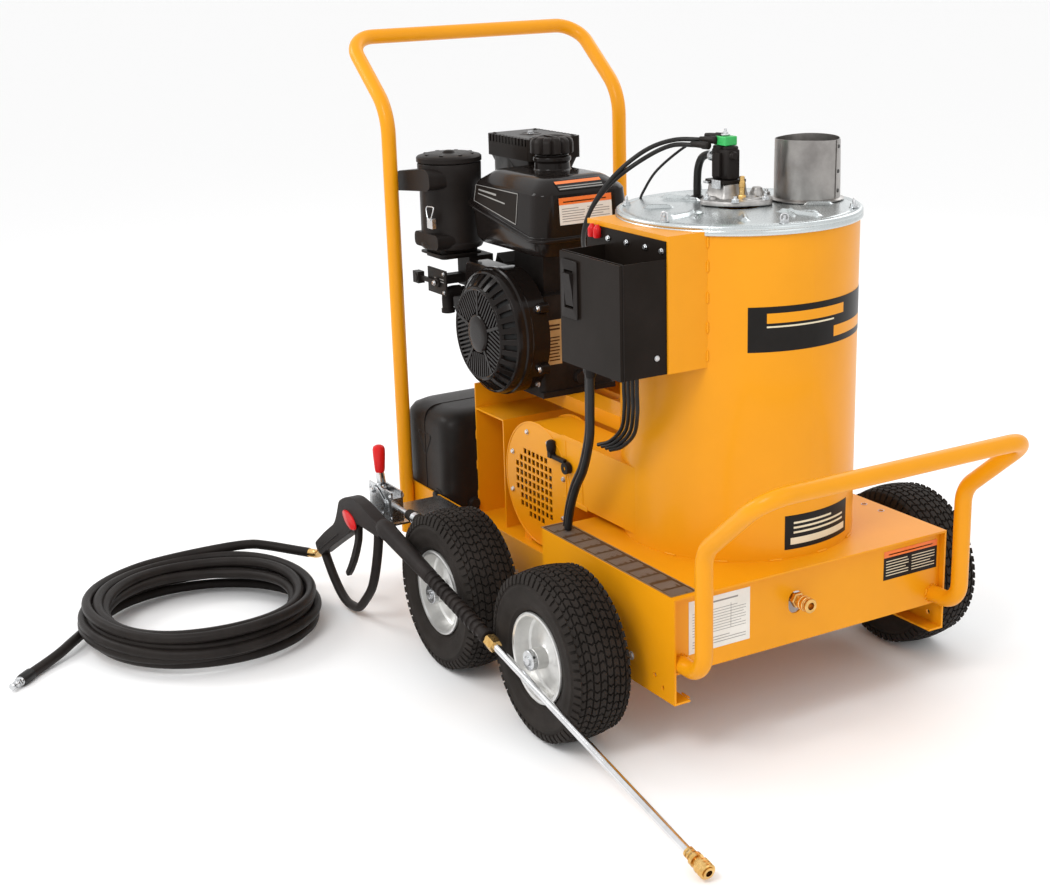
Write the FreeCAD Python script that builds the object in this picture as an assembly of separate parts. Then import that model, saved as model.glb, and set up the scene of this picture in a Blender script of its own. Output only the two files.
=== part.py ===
import FreeCAD, Part

"""Hot-water pressure washer on a four-wheel cart, with its spray gun, lance and hose.

Millimetres. +X points forward, from the tall push handle to the low front handle; +Z is up; the
floor is Z = 0. -Y is the near side, with the recoil starter.
"""

import math
import os

V = FreeCAD.Vector
X_AXIS = V(1, 0, 0)
Y_AXIS = V(0, 1, 0)
Z_AXIS = V(0, 0, 1)

# chassis
SHEET = 4.0
DECK_HALF = 318.0
DECK_Z = 322.0
DECK_REAR = 161.0
DECK_FRONT = 612.0
PANEL_X = 600.0
BOTTOM_Z = 120.0
RAIL_HALF = 282.0
RAIL_TOP = 243.0
TRAY_Z = 200.0
TRAY_REAR = -545.0
DECK_HOLE_R = 5.0
DECK_HOLES = (405.0, 455.0)
DECK_HOLE_Y = 292.0

# wheels
WHEEL_R = 165.0
TYRE_HALF = 60.0
WHEEL_Y = 417.0
RIM_R = 82.0
AXLE_R = 9.5
AXLE_BORE = 9.55
AXLE_END = 486.0
AXLES = {"front": 384.0, "rear": -10.0}
SIDES = {"right": -1, "left": 1}

# handles
TUBE_R = 16.0
TUBE_WALL = 2.0
HANDLE_Y = RAIL_HALF + TUBE_R
REAR_X = -488.0
REAR_KNEE_Z = 1083.0
REAR_TOP = (-671.0, 1231.0)
FRONT_X = 672.0
FRONT_FOOT_Z = 194.0
FRONT_KNEE_Z = 427.0
FRONT_TOP = (830.0, 562.0)

# heater
SHELL = (343.0, 18.0)
SHELL_R = 224.0
SHELL_TOP = 942.0
LID_R = 229.0
LID_TOP = 946.0
BURNER = (312.0, 38.0)
BURNER_R = 73.0
FLUE = (360.0, 166.0)
FLUE_R = 62.0
FLUE_TOP = 1062.0
COIL_R = 150.0
COIL_TUBE_R = 8.0
COIL_BOTTOM = 365.0
COIL_TOP = 780.0
COIL_TURNS = 8.25
OUTLET_Y = -39.0
OUTLET_Z = 258.0
OUTLET_HOLE_R = 16.0

# engine
CRANK = (-205.0, 637.0)
SHAFT_R = 12.7
SHAFT_BORE = 12.75
BLOCK_Y = (-150.0, 30.0)
SHROUD_R = 131.0
ENGINE_BASE = 500.0
TANK_X = (-334.0, -26.0)
TANK_Y = (-195.0, 35.0)
TANK_Z = (810.0, 968.0)
CAP = (-190.0, -65.0)
FILTER = (-408.0, -195.0)
BENCH_REAR = -312.0
GUARD = ((-455.0, -265.0), (-75.0, 55.0), (976.0, 1022.0))

# burner fan
FAN = (-45.0, 338.0)
FAN_R = 130.0
FAN_Y = (-205.0, -110.0)
DUCT_Z = (335.0, 468.0)

# burner fuel tank
BTANK_X = (-532.0, -313.0)
BTANK_Y = (-277.0, 140.0)
BTANK_TOP = 434.0
BCAP = (-410.0, 60.0)

# switch box
WEB_Y = -240.0
BOX_X = (285.0, 481.0)
BOX_Y = (-338.0, WEB_Y)
BOX_Z = (690.0, 895.0)
ROCKER = (322.0, 830.0)

# parking brake
BRAKE_Y = -440.0
BRAKE_PIVOT = (-320.0, 300.0)

# gun and lance, in one upright plane
GUN_Y = -495.5
GUN_HALF = 14.0
LANCE_R = 7.5
LANCE_START = (-190.0, 257.0)
LANCE_END = (918.0, 26.0)
WAND = (215.0, 450.0)
SHROUD_TIP_R = 15.0
COUPLER_LENGTH = 42.0

# hose
HOSE_R = 11.0
COIL_CENTRE = (-478.0, -812.0)
HOSE_RING = (186.0, 280.0)
SWIVEL_R = 10.0
HOSE_RING_Z = 92.0
NIPPLE_R = 6.0
LEAD = (
    (-585.0, -510.0, 84.0),
    (-625.0, -540.0, 86.0),
    (-658.0, -581.0, 94.0),
    (-681.0, -628.0, 103.0),
)
TAIL = (
    (-520.0, -1085.0, 26.0),
    (-492.0, -1120.0, 18.0),
    (-462.0, -1162.0, 13.0),
    (-432.0, -1200.0, 12.0),
    (-408.0, -1226.0, 12.0),
)


def box(x, y, z):
    return Part.makeBox(x[1] - x[0], y[1] - y[0], z[1] - z[0], V(x[0], y[0], z[0]))


def rod(start, axis, radius, length):
    return Part.makeCylinder(radius, length, V(*start), axis)


def ring(start, axis, outer, inner, length):
    return rod(start, axis, outer, length).cut(rod(start, axis, inner, length))


def cone(start, axis, r0, r1, length):
    return Part.makeCone(r0, r1, length, V(*start), axis)


def hexagon(start, axis, across, length):
    """A hexagonal bar, its width across the corners being 2 * across."""
    centre = V(*start)
    side = X_AXIS if abs(axis.x) < 0.5 else Y_AXIS
    other = axis.cross(side)
    turns = [math.radians(60 * k) for k in range(7)]
    points = [centre + side * (across * math.cos(t)) + other * (across * math.sin(t)) for t in turns]
    return Part.Face(Part.makePolygon(points)).extrude(axis * length)


def slab(points, y0, y1):
    """An outline of (x, z) points, drawn out along Y."""
    corners = [V(x, y0, z) for x, z in points]
    return Part.Face(Part.makePolygon(corners + corners[:1])).extrude(V(0, y1 - y0, 0))


def fuse(shapes):
    first, *rest = shapes
    return first.multiFuse(rest).removeSplitter() if rest else first


def upright_edges(shape):
    return [e for e in shape.Edges if abs(e.tangentAt(e.FirstParameter).z) > 0.99]


def rounded(shape, upright, rest=0.0):
    """Fillet the upright edges, and then the edges of the top face."""
    shape = shape.makeFillet(upright, upright_edges(shape))
    if rest:
        top = max(shape.Faces, key=lambda face: face.CenterOfMass.z)
        shape = shape.makeFillet(rest, top.Edges)
    return shape


def route(points, radii):
    """A wire of straight runs joined by tangent arcs."""
    points = [V(*p) for p in points]
    edges = []
    last = points[0]
    for i, radius in enumerate(radii, 1):
        back = (points[i - 1] - points[i]).normalize()
        ahead = (points[i + 1] - points[i]).normalize()
        half_turn = (math.pi - back.getAngle(ahead)) / 2
        reach = radius * math.tan(half_turn)
        start = points[i] + back * reach
        end = points[i] + ahead * reach
        middle = (back + ahead).normalize()
        mid = points[i] + middle * (radius / math.cos(half_turn) - radius)
        if (start - last).Length > 1e-6:
            edges.append(Part.makeLine(last, start))
        edges.append(Part.Arc(start, mid, end).toShape())
        last = end
    edges.append(Part.makeLine(last, points[-1]))
    return Part.Wire(edges)


def pipe(points, radii, radius, wall=0.0):
    path = route(points, radii)
    start = V(*points[0])
    ahead = V(*points[1]) - start
    solid = path.makePipeShell([Part.Wire(Part.Circle(start, ahead, radius).toShape())], True, False)
    if wall:
        hole = Part.Wire(Part.Circle(start, ahead, radius - wall).toShape())
        solid = solid.cut(path.makePipeShell([hole], True, False))
    return solid


def cord(points, radius, name):
    """A cord's tube: every bend takes 0.45 of its shorter run."""
    radii = []
    for before, here, after in zip(points, points[1:], points[2:]):
        back = V(*before) - V(*here)
        ahead = V(*after) - V(*here)
        half_turn = (math.pi - back.getAngle(ahead)) / 2
        radii.append(0.45 * min(back.Length, ahead.Length) / math.tan(half_turn))
    tube = pipe(points, radii, radius)
    length = route(points, radii).Length
    expected = math.pi * radius**2 * length
    print(name, "radii", [round(r) for r in radii], "length", round(length), "volume ratio",
          round(tube.Volume / expected, 4))
    return tube


def turned(shape, centre, axis, degrees):
    shape = shape.copy()
    shape.rotate(V(*centre), axis, degrees)
    return shape


def mirrored_y(shape):
    return shape.mirror(V(0, 0, 0), Y_AXIS)


def both_sides(shape):
    return [shape, mirrored_y(shape)]


def front_tube_path():
    half = [
        (540, -HANDLE_Y, FRONT_FOOT_Z),
        (FRONT_X, -HANDLE_Y, FRONT_FOOT_Z),
        (FRONT_X, -HANDLE_Y, FRONT_KNEE_Z),
        (FRONT_TOP[0], -HANDLE_Y, FRONT_TOP[1]),
    ]
    return half + [(x, -y, z) for x, y, z in reversed(half)]


def chassis():
    side = box((DECK_REAR, DECK_FRONT), (-DECK_HALF, -DECK_HALF + SHEET), (BOTTOM_Z, DECK_Z))
    flange = box((DECK_REAR, DECK_FRONT), (-DECK_HALF, -DECK_HALF + 34), (BOTTOM_Z, BOTTOM_Z + SHEET))
    rail = box((TRAY_REAR, DECK_REAR), (-RAIL_HALF, -RAIL_HALF + SHEET), (BOTTOM_Z, RAIL_TOP))
    inside = DECK_HALF - SHEET
    sheets = both_sides(side) + both_sides(flange) + both_sides(rail)
    sheets += [
        box((DECK_REAR, DECK_FRONT), (-DECK_HALF, DECK_HALF), (DECK_Z - SHEET, DECK_Z)),
        box((DECK_REAR, DECK_REAR + SHEET), (-inside, inside), (BOTTOM_Z + 40, DECK_Z)),
        box((PANEL_X - SHEET, PANEL_X), (-inside, inside), (172, DECK_Z)),
        box((TRAY_REAR, DECK_REAR + SHEET), (-RAIL_HALF, RAIL_HALF), (TRAY_Z - SHEET, TRAY_Z)),
        box((TRAY_REAR, TRAY_REAR + SHEET), (-RAIL_HALF, RAIL_HALF), (BOTTOM_Z, RAIL_TOP)),
    ]
    body = fuse(sheets)
    holes = [rod((x, -AXLE_END, WHEEL_R), Y_AXIS, AXLE_R, 2 * AXLE_END) for x in AXLES.values()]
    holes += [rod((x, DECK_HOLE_Y, DECK_Z - 10), Z_AXIS, DECK_HOLE_R, 20) for x in DECK_HOLES]
    holes += [rod((PANEL_X - 20, s * HANDLE_Y, FRONT_FOOT_Z), X_AXIS, TUBE_R, 40) for s in (-1, 1)]
    holes += [rod((PANEL_X - 20, OUTLET_Y, OUTLET_Z + dz), X_AXIS, OUTLET_HOLE_R, 40) for dz in (0, -12)]
    holes.append(box((PANEL_X - 20, PANEL_X + 20), (OUTLET_Y - OUTLET_HOLE_R, OUTLET_Y + OUTLET_HOLE_R),
                     (OUTLET_Z - 12, OUTLET_Z)))
    holes.append(rod((SHELL[0] + COIL_R, OUTLET_Y, DECK_Z - 10), Z_AXIS, COIL_TUBE_R + 2, 20))
    for x, z in ((550, 158), (575, 142)):
        holes += both_sides(rod((x, -DECK_HALF - 5, z), Y_AXIS, 5.0, 15))
    return body.cut(Part.makeCompound(holes))


def handles():
    rear = [
        (REAR_X, -HANDLE_Y, BOTTOM_Z + 4),
        (REAR_X, -HANDLE_Y, REAR_KNEE_Z),
        (REAR_TOP[0], -HANDLE_Y, REAR_TOP[1]),
    ]
    rear += [(x, -y, z) for x, y, z in reversed(rear)]
    return {
        "front_handle": pipe(front_tube_path(), [42, 60, 55, 55, 60, 42], TUBE_R, TUBE_WALL),
        "rear_handle": pipe(rear, [110, 60, 60, 110], TUBE_R, TUBE_WALL),
    }


def revolved(profile, x, y):
    """Turn a profile of edges, drawn with X as the distance along the axle, about the axle."""
    face = Part.Face(Part.Wire(profile))
    solid = face.revolve(V(0, 0, 0), X_AXIS, 360)
    solid.rotate(V(0, 0, 0), Z_AXIS, 90)
    solid.translate(V(x, y, WHEEL_R))
    return solid


def polygon_edges(points):
    corners = [V(a, 0, r) for a, r in points]
    return Part.makePolygon(corners + corners[:1]).Edges


def tyre(x, side):
    def arc(a, b, c):
        return Part.Arc(V(a[0], 0, a[1]), V(b[0], 0, b[1]), V(c[0], 0, c[1])).toShape()

    def line(a, b):
        return Part.makeLine(V(a[0], 0, a[1]), V(b[0], 0, b[1]))

    shoulder = (50, 156)
    inner_shoulder = (43, 148)
    bead = (43, RIM_R)
    inner_bead = (35, RIM_R)
    flip = lambda p: (-p[0], p[1])
    edges = [
        arc(flip(bead), (-TYRE_HALF, 122), flip(shoulder)),
        arc(flip(shoulder), (0, WHEEL_R), shoulder),
        arc(shoulder, (TYRE_HALF, 122), bead),
        line(bead, inner_bead),
        arc(inner_bead, (TYRE_HALF - 9, 122), inner_shoulder),
        arc(inner_shoulder, (0, 156), flip(inner_shoulder)),
        arc(flip(inner_shoulder), (9 - TYRE_HALF, 122), flip(inner_bead)),
        line(flip(inner_bead), flip(bead)),
    ]
    return revolved(edges, x, side * WHEEL_Y)


def rim(x, side):
    """A dished steel rim; its hub carries the bearing bore."""
    points = [
        (-53, 80), (-53, 88), (-50, 88), (-47.5, RIM_R), (47.5, RIM_R), (50, 88), (53, 88), (53, 79),
        (16, 78), (24, 66), (34, 22), (58, 20), (58, AXLE_BORE), (-48, AXLE_BORE), (-48, 20),
        (28, 20), (18, 64), (10, 76), (-46, 78),
    ]
    return revolved(polygon_edges([(side * a, r) for a, r in points]), x, side * WHEEL_Y)


def axles():
    parts = []
    for x in AXLES.values():
        parts.append(rod((x, -AXLE_END, WHEEL_R), Y_AXIS, AXLE_R, 2 * AXLE_END))
        for y, width in ((-AXLE_END + 1, 9.5), (-WHEEL_Y + 48.5, 12)):
            collar = ring((x, y, WHEEL_R), Y_AXIS, 19.0, AXLE_R, width)
            parts += both_sides(collar)
    return Part.makeCompound(parts)


def wheels():
    nodes = {}
    for place, x in AXLES.items():
        for name, side in SIDES.items():
            nodes[f"tyre_{place}_{name}"] = tyre(x, side)
            nodes[f"rim_{place}_{name}"] = rim(x, side)
    return nodes


def engine_bench():
    rear = BENCH_REAR
    shelf_front = -186
    sheets = [
        box((rear, rear + SHEET), (-205, 205), (TRAY_Z, ENGINE_BASE)),
        box((rear, shelf_front), (-205, 205), (441, 445)),
        box((shelf_front - SHEET, shelf_front), (-205, 205), (TRAY_Z, 445)),
        box((100, 104), (-95, 160), (TRAY_Z, ENGINE_BASE)),
    ]
    for y in (-95, 60):
        rail = box((rear, 104), (y, y + 60), (470, ENGINE_BASE))
        sheets.append(rail.cut(box((rear + 10, 94), (y + 4, y + 56), (466, ENGINE_BASE - 4))))
    return fuse(sheets)


def cylinder_head():
    """The finned cylinder, head and valve cover, leaning back from the crankshaft."""
    cx, cz = CRANK
    parts = [box((cx, cx + 160), (-100, -10), (cz - 45, cz + 45))]
    for k in range(7):
        start = cx + 84 + 10 * k
        parts.append(box((start, start + 4), (-120, 10), (cz - 62, cz + 62)))
    parts.append(box((cx + 156, cx + 186), (-115, 5), (cz - 58, cz + 58)))
    parts.append(box((cx + 186, cx + 212), (-100, -10), (cz - 45, cz + 45)))
    return turned(fuse(parts), (cx, 0, cz), Y_AXIS, 205)


def engine_block():
    cx, cz = CRANK
    case = rounded(box((cx - 92, cx + 95), BLOCK_Y, (ENGINE_BASE + 12, 718)), 14)
    foot = box((cx - 98, cx + 100), BLOCK_Y, (ENGINE_BASE, ENGINE_BASE + 12))
    post = box((cx - 60, cx + 60), (-120, 0), (700, TANK_Z[0]))
    sump = rod((cx + 70, -60, ENGINE_BASE + 36), X_AXIS, 13, 40)
    block = fuse([case, foot, post, sump, cylinder_head()])
    bore = rod((cx, BLOCK_Y[0] - 20, cz), Y_AXIS, SHAFT_BORE, 220)
    return block.cut(bore)


def crankshaft():
    cx, cz = CRANK
    shaft = rod((cx, -186, cz), Y_AXIS, SHAFT_R, 281)
    wheel = rod((cx, -178, cz), Y_AXIS, 88, 16)
    vanes = [box((cx + 40, cx + 98), (-200, -178), (cz - 2, cz + 2))]
    vanes = [turned(vanes[0], (cx, 0, cz), Y_AXIS, 30 * k) for k in range(12)]
    return fuse([shaft, wheel] + vanes)


def recoil_shroud():
    cx, cz = CRANK
    face_y = -250
    cone_y = -222
    base_y = BLOCK_Y[0]
    outer = fuse([
        rod((cx, cone_y, cz), Y_AXIS, SHROUD_R, base_y - cone_y),
        cone((cx, face_y, cz), Y_AXIS, 98, SHROUD_R, cone_y - face_y),
        rod((cx, face_y - 8, cz), Y_AXIS, 49, 9),
        box((cx - 145, cx), (-195, base_y), (cz + 20, cz + 130)),
        rod((cx, -198, cz), Y_AXIS, SHROUD_R + 5, 8),
    ])
    hollow = fuse([
        rod((cx, cone_y + 3, cz), Y_AXIS, SHROUD_R - 4, base_y - cone_y),
        cone((cx, face_y + 4, cz), Y_AXIS, 94, SHROUD_R - 4, cone_y - face_y - 1),
        box((cx - 141, cx), (-191, base_y + 5), (cz + 24, cz + 126)),
    ])
    slots = [box((cx + 104, cx + 124), (face_y - 4, cone_y + 8), (cz - 3, cz + 3))]
    slots.append(box((cx + 58, cx + 90), (face_y - 4, face_y + 8), (cz - 3, cz + 3)))
    cuts = [turned(slots[0], (cx, 0, cz), Y_AXIS, 15 * k) for k in range(24)]
    cuts += [turned(slots[1], (cx, 0, cz), Y_AXIS, 15 * k + 7.5) for k in range(24)]
    return outer.cut(hollow).cut(Part.makeCompound(cuts))


def engine_tank():
    outer = rounded(box(TANK_X, TANK_Y, TANK_Z), 42, 26)
    inner_box = [(a + 4, b - 4) for a, b in (TANK_X, TANK_Y, TANK_Z)]
    inner = rounded(box(*inner_box), 38, 22)
    seam_x, seam_y = [(a - 7, b + 7) for a, b in (TANK_X, TANK_Y)]
    seam = rounded(box(seam_x, seam_y, (846, 852)), 46)
    neck_top = TANK_Z[1] + 34
    neck = rod((CAP[0], CAP[1], TANK_Z[1] - 6), Z_AXIS, 34, 40)
    throat = rod((CAP[0], CAP[1], TANK_Z[1] - 20), Z_AXIS, 28, 60)
    tank = fuse([outer, seam, neck]).cut(inner).cut(throat)
    cap = rod((CAP[0], CAP[1], neck_top + 0.5), Z_AXIS, 46, 34)
    notches = []
    for k in range(12):
        turn = math.radians(30 * k)
        place = (CAP[0] + 50 * math.cos(turn), CAP[1] + 50 * math.sin(turn), neck_top - 5)
        notches.append(rod(place, Z_AXIS, 7, 40))
    return {
        "engine_fuel_tank": tank,
        "engine_fuel_cap": cap.cut(Part.makeCompound(notches)),
    }


def muffler(block):
    """The can stands behind the tank; its guard reaches forward above the tank."""
    (x0, x1), (y0, y1), (z0, z1) = GUARD
    guard = rounded(box(*GUARD), 12)
    guard = guard.cut(rounded(box((x0 + 2, x1 - 2), (y0 + 2, y1 - 2), (z0 - 5, z1 - 2)), 10))
    slots = []
    for k in range(12):
        x = x0 + 16 + 14 * k
        slots.append(box((x, x + 6), (y0 - 5, y0 + 12), (z1 - 16, z1 + 5)))
        slots.append(box((x, x + 6), (y1 - 12, y1 + 5), (z1 - 16, z1 + 5)))
    guard = guard.cut(Part.makeCompound(slots))
    can = rounded(box((x0 + 8, -350), (y0 + 5, y1 - 7), (905, z1 - 2)), 25)
    stub = rod((-395, -20, 720), Z_AXIS, 17, 200)
    return {"muffler": fuse([can, stub]).cut(block), "muffler_guard": guard}


def air_cleaner(block):
    fx, fy = FILTER
    canister = rod((fx, fy, 790), Z_AXIS, 68, 185)
    foot = box((fx - 45, fx + 40), (fy - 45, fy + 45), (768, 790))
    hood = slab([(fx - 124, 902), (fx - 112, 934), (fx - 84, 952), (fx - 30, 958), (fx - 30, 902)],
                fy - 66, fy - 2)
    latch = box((fx - 5, fx + 13), (fy - 78, fy - 60), (835, 868))
    body = fuse([canister, foot, hood, latch])
    body = body.cut(rod((fx, fy, 796), Z_AXIS, 64, 200))
    lid = fuse([rod((fx, fy, 975), Z_AXIS, 70, 14), cone((fx, fy, 989), Z_AXIS, 64, 54, 8)])
    grooves = [box((fx + 20, fx + 60), (fy - 4, fy + 4), (992, 1000))]
    grooves = [turned(grooves[0], (fx, fy, 0), Z_AXIS, 45 * k) for k in range(8)]
    lid = lid.cut(Part.makeCompound(grooves))
    panel = box((-445, -360), (-240, -236), (690, 745))
    throat = box((-430, -375), (-172, -112), (700, 768))
    strut = box((-425, -400), (-236, -172), (708, 728))
    bowl = rod((-402, -145, 672), Z_AXIS, 24, 30)
    pin = rod((-395, -249, 716), Y_AXIS, 3.0, 10)
    elbow = pipe([(-402, -172, 690), (-402, -215, 690), (-402, -215, 650)], [16], 9)
    carburettor = fuse([panel, throat, strut, bowl, pin, elbow]).cut(block)
    lever = fuse([
        ring((-395, -246, 716), Y_AXIS, 11, 3.05, 5.7),
        box((-478, -404), (-246, -240.3), (711, 721)),
        box((-496, -470), (-252, -236), (703, 729)),
    ])
    return {
        "air_cleaner": body,
        "air_cleaner_lid": lid,
        "carburettor": carburettor,
        "throttle_lever": lever.cut(rod((-395, -250, 716), Y_AXIS, 3.05, 20)),
    }


def pump():
    cx, cz = CRANK
    body = [
        rod((cx, BLOCK_Y[1], cz), Y_AXIS, 68, 24),
        rounded(box((cx - 60, cx + 60), (50, 150), (cz - 52, cz + 52)), 12),
        box((cx - 52, cx + 52), (148, 222), (cz - 46, cz + 40)),
        rod((cx + 50, 168, cz - 17), X_AXIS, 12, 20),
        rod((cx - 90, 190, cz - 17), X_AXIS, 14, 40),
    ]
    for k in (-32, 0, 32):
        body.append(hexagon((cx + k, 185, cz + 38), Z_AXIS, 14, 14))
        body.append(hexagon((cx + k, 220, cz - 17), Y_AXIS, 14, 12))
    bore = rod((cx, 20, cz), Y_AXIS, SHAFT_BORE, 80)
    return fuse(body).cut(bore)


def heater():
    sx, sy = SHELL
    inlet_y = sy + COIL_R
    shell = ring((sx, sy, DECK_Z), Z_AXIS, SHELL_R, SHELL_R - 3, SHELL_TOP - DECK_Z)
    duct_hole = box((sx - 200, sx), (FAN_Y[0] + 2.5, FAN_Y[1] - 2.5), (DUCT_Z[0] + 2.5, DUCT_Z[1] - 2.5))
    shell = shell.cut(duct_hole.common(box((sx - 200, sx - 60), (-300, 0), (300, 500))))
    shell = shell.cut(rod((100, inlet_y, COIL_TOP), X_AXIS, COIL_TUBE_R, 150))
    lid = rod((sx, sy, LID_TOP - 18), Z_AXIS, LID_R, 18)
    lid = lid.cut(rod((sx, sy, LID_TOP - 18), Z_AXIS, SHELL_R + 1, 14))
    lid = lid.cut(rod((BURNER[0], BURNER[1], LID_TOP - 30), Z_AXIS, 54, 60))
    lid = lid.cut(rod((FLUE[0], FLUE[1], LID_TOP - 30), Z_AXIS, FLUE_R - 2, 60))
    flue = ring((FLUE[0], FLUE[1], LID_TOP), Z_AXIS, FLUE_R, FLUE_R - 1.2, FLUE_TOP - LID_TOP)
    pitch = (COIL_TOP - COIL_BOTTOM) / COIL_TURNS
    helix = Part.makeHelix(pitch, COIL_TOP - COIL_BOTTOM, COIL_R)
    helix.translate(V(sx, sy, COIL_BOTTOM))
    start = V(sx + COIL_R, sy, COIL_BOTTOM)
    section = Part.Wire(Part.Circle(start, Y_AXIS, COIL_TUBE_R).toShape())
    coil = Part.Wire(helix.Edges).makePipeShell([section], True, True)
    lower = [
        (sx + COIL_R, sy, COIL_BOTTOM),
        (sx + COIL_R, OUTLET_Y, COIL_BOTTOM),
        (sx + COIL_R, OUTLET_Y, OUTLET_Z),
        (590, OUTLET_Y, OUTLET_Z),
    ]
    lead = rod((150, inlet_y, COIL_TOP), X_AXIS, COIL_TUBE_R, sx - 150)
    coil = fuse([coil, pipe(lower, [25, 25], COIL_TUBE_R), lead])
    inlet = [
        (CRANK[0] + 70, inlet_y, CRANK[1] - 17),
        (0, inlet_y, CRANK[1] - 17),
        (0, inlet_y, COIL_TOP),
        (150, inlet_y, COIL_TOP),
    ]
    return {
        "heater_shell": shell,
        "shell_lid": lid,
        "flue_collar": flue,
        "heating_coil": coil,
        "pressure_pipe": pipe(inlet, [40, 40], COIL_TUBE_R),
    }


def burner():
    bx, by = BURNER
    flange = ring((bx, by, LID_TOP), Z_AXIS, BURNER_R, 20, 12)
    blast = ring((bx, by, 820), Z_AXIS, 50, 46, LID_TOP - 820)
    casting = rounded(box((bx - 45, bx + 15), (by - 40, by + 15), (LID_TOP + 8, 988)), 10)
    bosses = []
    for k in range(6):
        turn = math.radians(60 * k + 20)
        place = (bx + 62 * math.cos(turn), by + 62 * math.sin(turn), LID_TOP + 12)
        bosses.append(hexagon(place, Z_AXIS, 8, 7))
    head = fuse([flange, blast, casting] + bosses)
    vx, vy = bx - 18, by - 14
    block = fuse([
        rounded(box((vx - 26, vx + 26), (vy - 24, vy + 24), (988, 1052)), 8),
        box((vx - 20, vx + 20), (vy - 12, vy + 14), (1052, 1072)),
        rod((vx, vy, 1072), Z_AXIS, 6, 8),
        rod((vx - 40, vy - 4, 1030), X_AXIS, 9, 20),
        box((vx - 46, vx - 20), (vy - 40, vy - 8), (1048, 1062)),
    ])
    hose = [
        (vx - 40, vy - 4, 1030),
        (vx - 72, vy - 4, 1030),
        (vx - 84, vy - 4, 1000),
        (vx - 84, vy - 4, LID_TOP),
    ]
    leads = []
    for k in range(3):
        y = vy - 14 - 10 * k
        z = 1055 - 10 * (k % 2)
        leads.append(pipe([
            (vx - 46.4, y, z),
            (vx - 105, y - 14, z - 2),
            (146 + 12 * k, -100 - 4 * k, 1000 - 3 * k),
            (160 + 10 * k, -182, 905),
            (246 + 12 * k, WEB_Y + SHEET + 3, 858),
        ], [90, 60, 40], 4.0))
    return {
        "burner_head": head,
        "burner_valve": block,
        "burner_fuel_hose": pipe(hose, [20, 20], 7.5),
        "burner_leads": Part.makeCompound(leads),
    }


def switch_box():
    sx, sy = SHELL
    web = box((225, 485), (WEB_Y, WEB_Y + SHEET), (BOX_Z[0], 935))
    front = box((481, 485), (WEB_Y, sy), (BOX_Z[0], 935))
    rear = box((225, 229), (WEB_Y, sy), (BOX_Z[0] + 208, 935))
    top = box((225, 485), (WEB_Y, sy), (931, 935))
    bracket = fuse([web, front, rear, top])
    bracket = bracket.cut(rod((sx, sy, 600), Z_AXIS, SHELL_R, 400))
    bracket = bracket.cut(rod((sx, sy, LID_TOP - 18.3), Z_AXIS, LID_R + 0.5, 40))
    inner = ((BOX_X[0] + 2, BOX_X[1] - 2), (BOX_Y[0] + 2, BOX_Y[1] - 2), (BOX_Z[0] + 2, BOX_Z[1] + 5))
    case = box(BOX_X, BOX_Y, BOX_Z).cut(box(*inner))
    rx, rz = ROCKER
    plate = box((rx - 26, rx + 26), (BOX_Y[0] - 3, BOX_Y[0]), (rz - 52, rz + 52))
    window = box((rx - 14, rx + 14), (BOX_Y[0] - 8, BOX_Y[0] + 20), (rz - 34, rz + 34))
    back = box((225, BOX_X[1]), (WEB_Y - 2, WEB_Y), (BOX_Z[0], 926))
    case = fuse([case, plate, back]).cut(window)
    pins = [rod((rx - 16.5, BOX_Y[0] + 4, rz), X_AXIS, 2.0, 33)]
    case = fuse([case, box((rx - 16.5, rx - 14), (BOX_Y[0] + 1, BOX_Y[0] + 8), (rz - 6, rz + 6)),
                 box((rx + 14, rx + 16.5), (BOX_Y[0] + 1, BOX_Y[0] + 8), (rz - 6, rz + 6))])
    case = case.cut(rod((rx - 20, BOX_Y[0] + 4, rz), X_AXIS, 2.05, 40))
    y0 = BOX_Y[0]
    outline = [(-4, -30), (-7, 0), (-12, 30), (4, 30), (8, 0), (4, -30)]
    corners = [V(rx - 13, y0 + dy, rz + dz) for dy, dz in outline]
    rocker = Part.Face(Part.makePolygon(corners + corners[:1])).extrude(V(26, 0, 0))
    return {
        "box_bracket": bracket,
        "switch_box": case,
        "rocker_switch": fuse([rocker] + pins),
    }


def control_cables():
    cables = []
    for k, (x, y) in enumerate(((300, -290), (322, -300))):
        cables.append(pipe([
            (x, y, BOX_Z[0] - 0.5),
            (x - 4, y, 560),
            (x - 96, y + 20, 440),
            (x - 122, y + 18, DECK_Z + 2.5),
        ], [60, 60], 7.5))
    for k in range(4):
        x = 395 + 14 * k
        cables.append(pipe([
            (x, -275, BOX_Z[0]),
            (x, -275, 630),
            (x - 8, -268, 590),
        ], [40], 4.0))
    return Part.makeCompound(cables)


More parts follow.
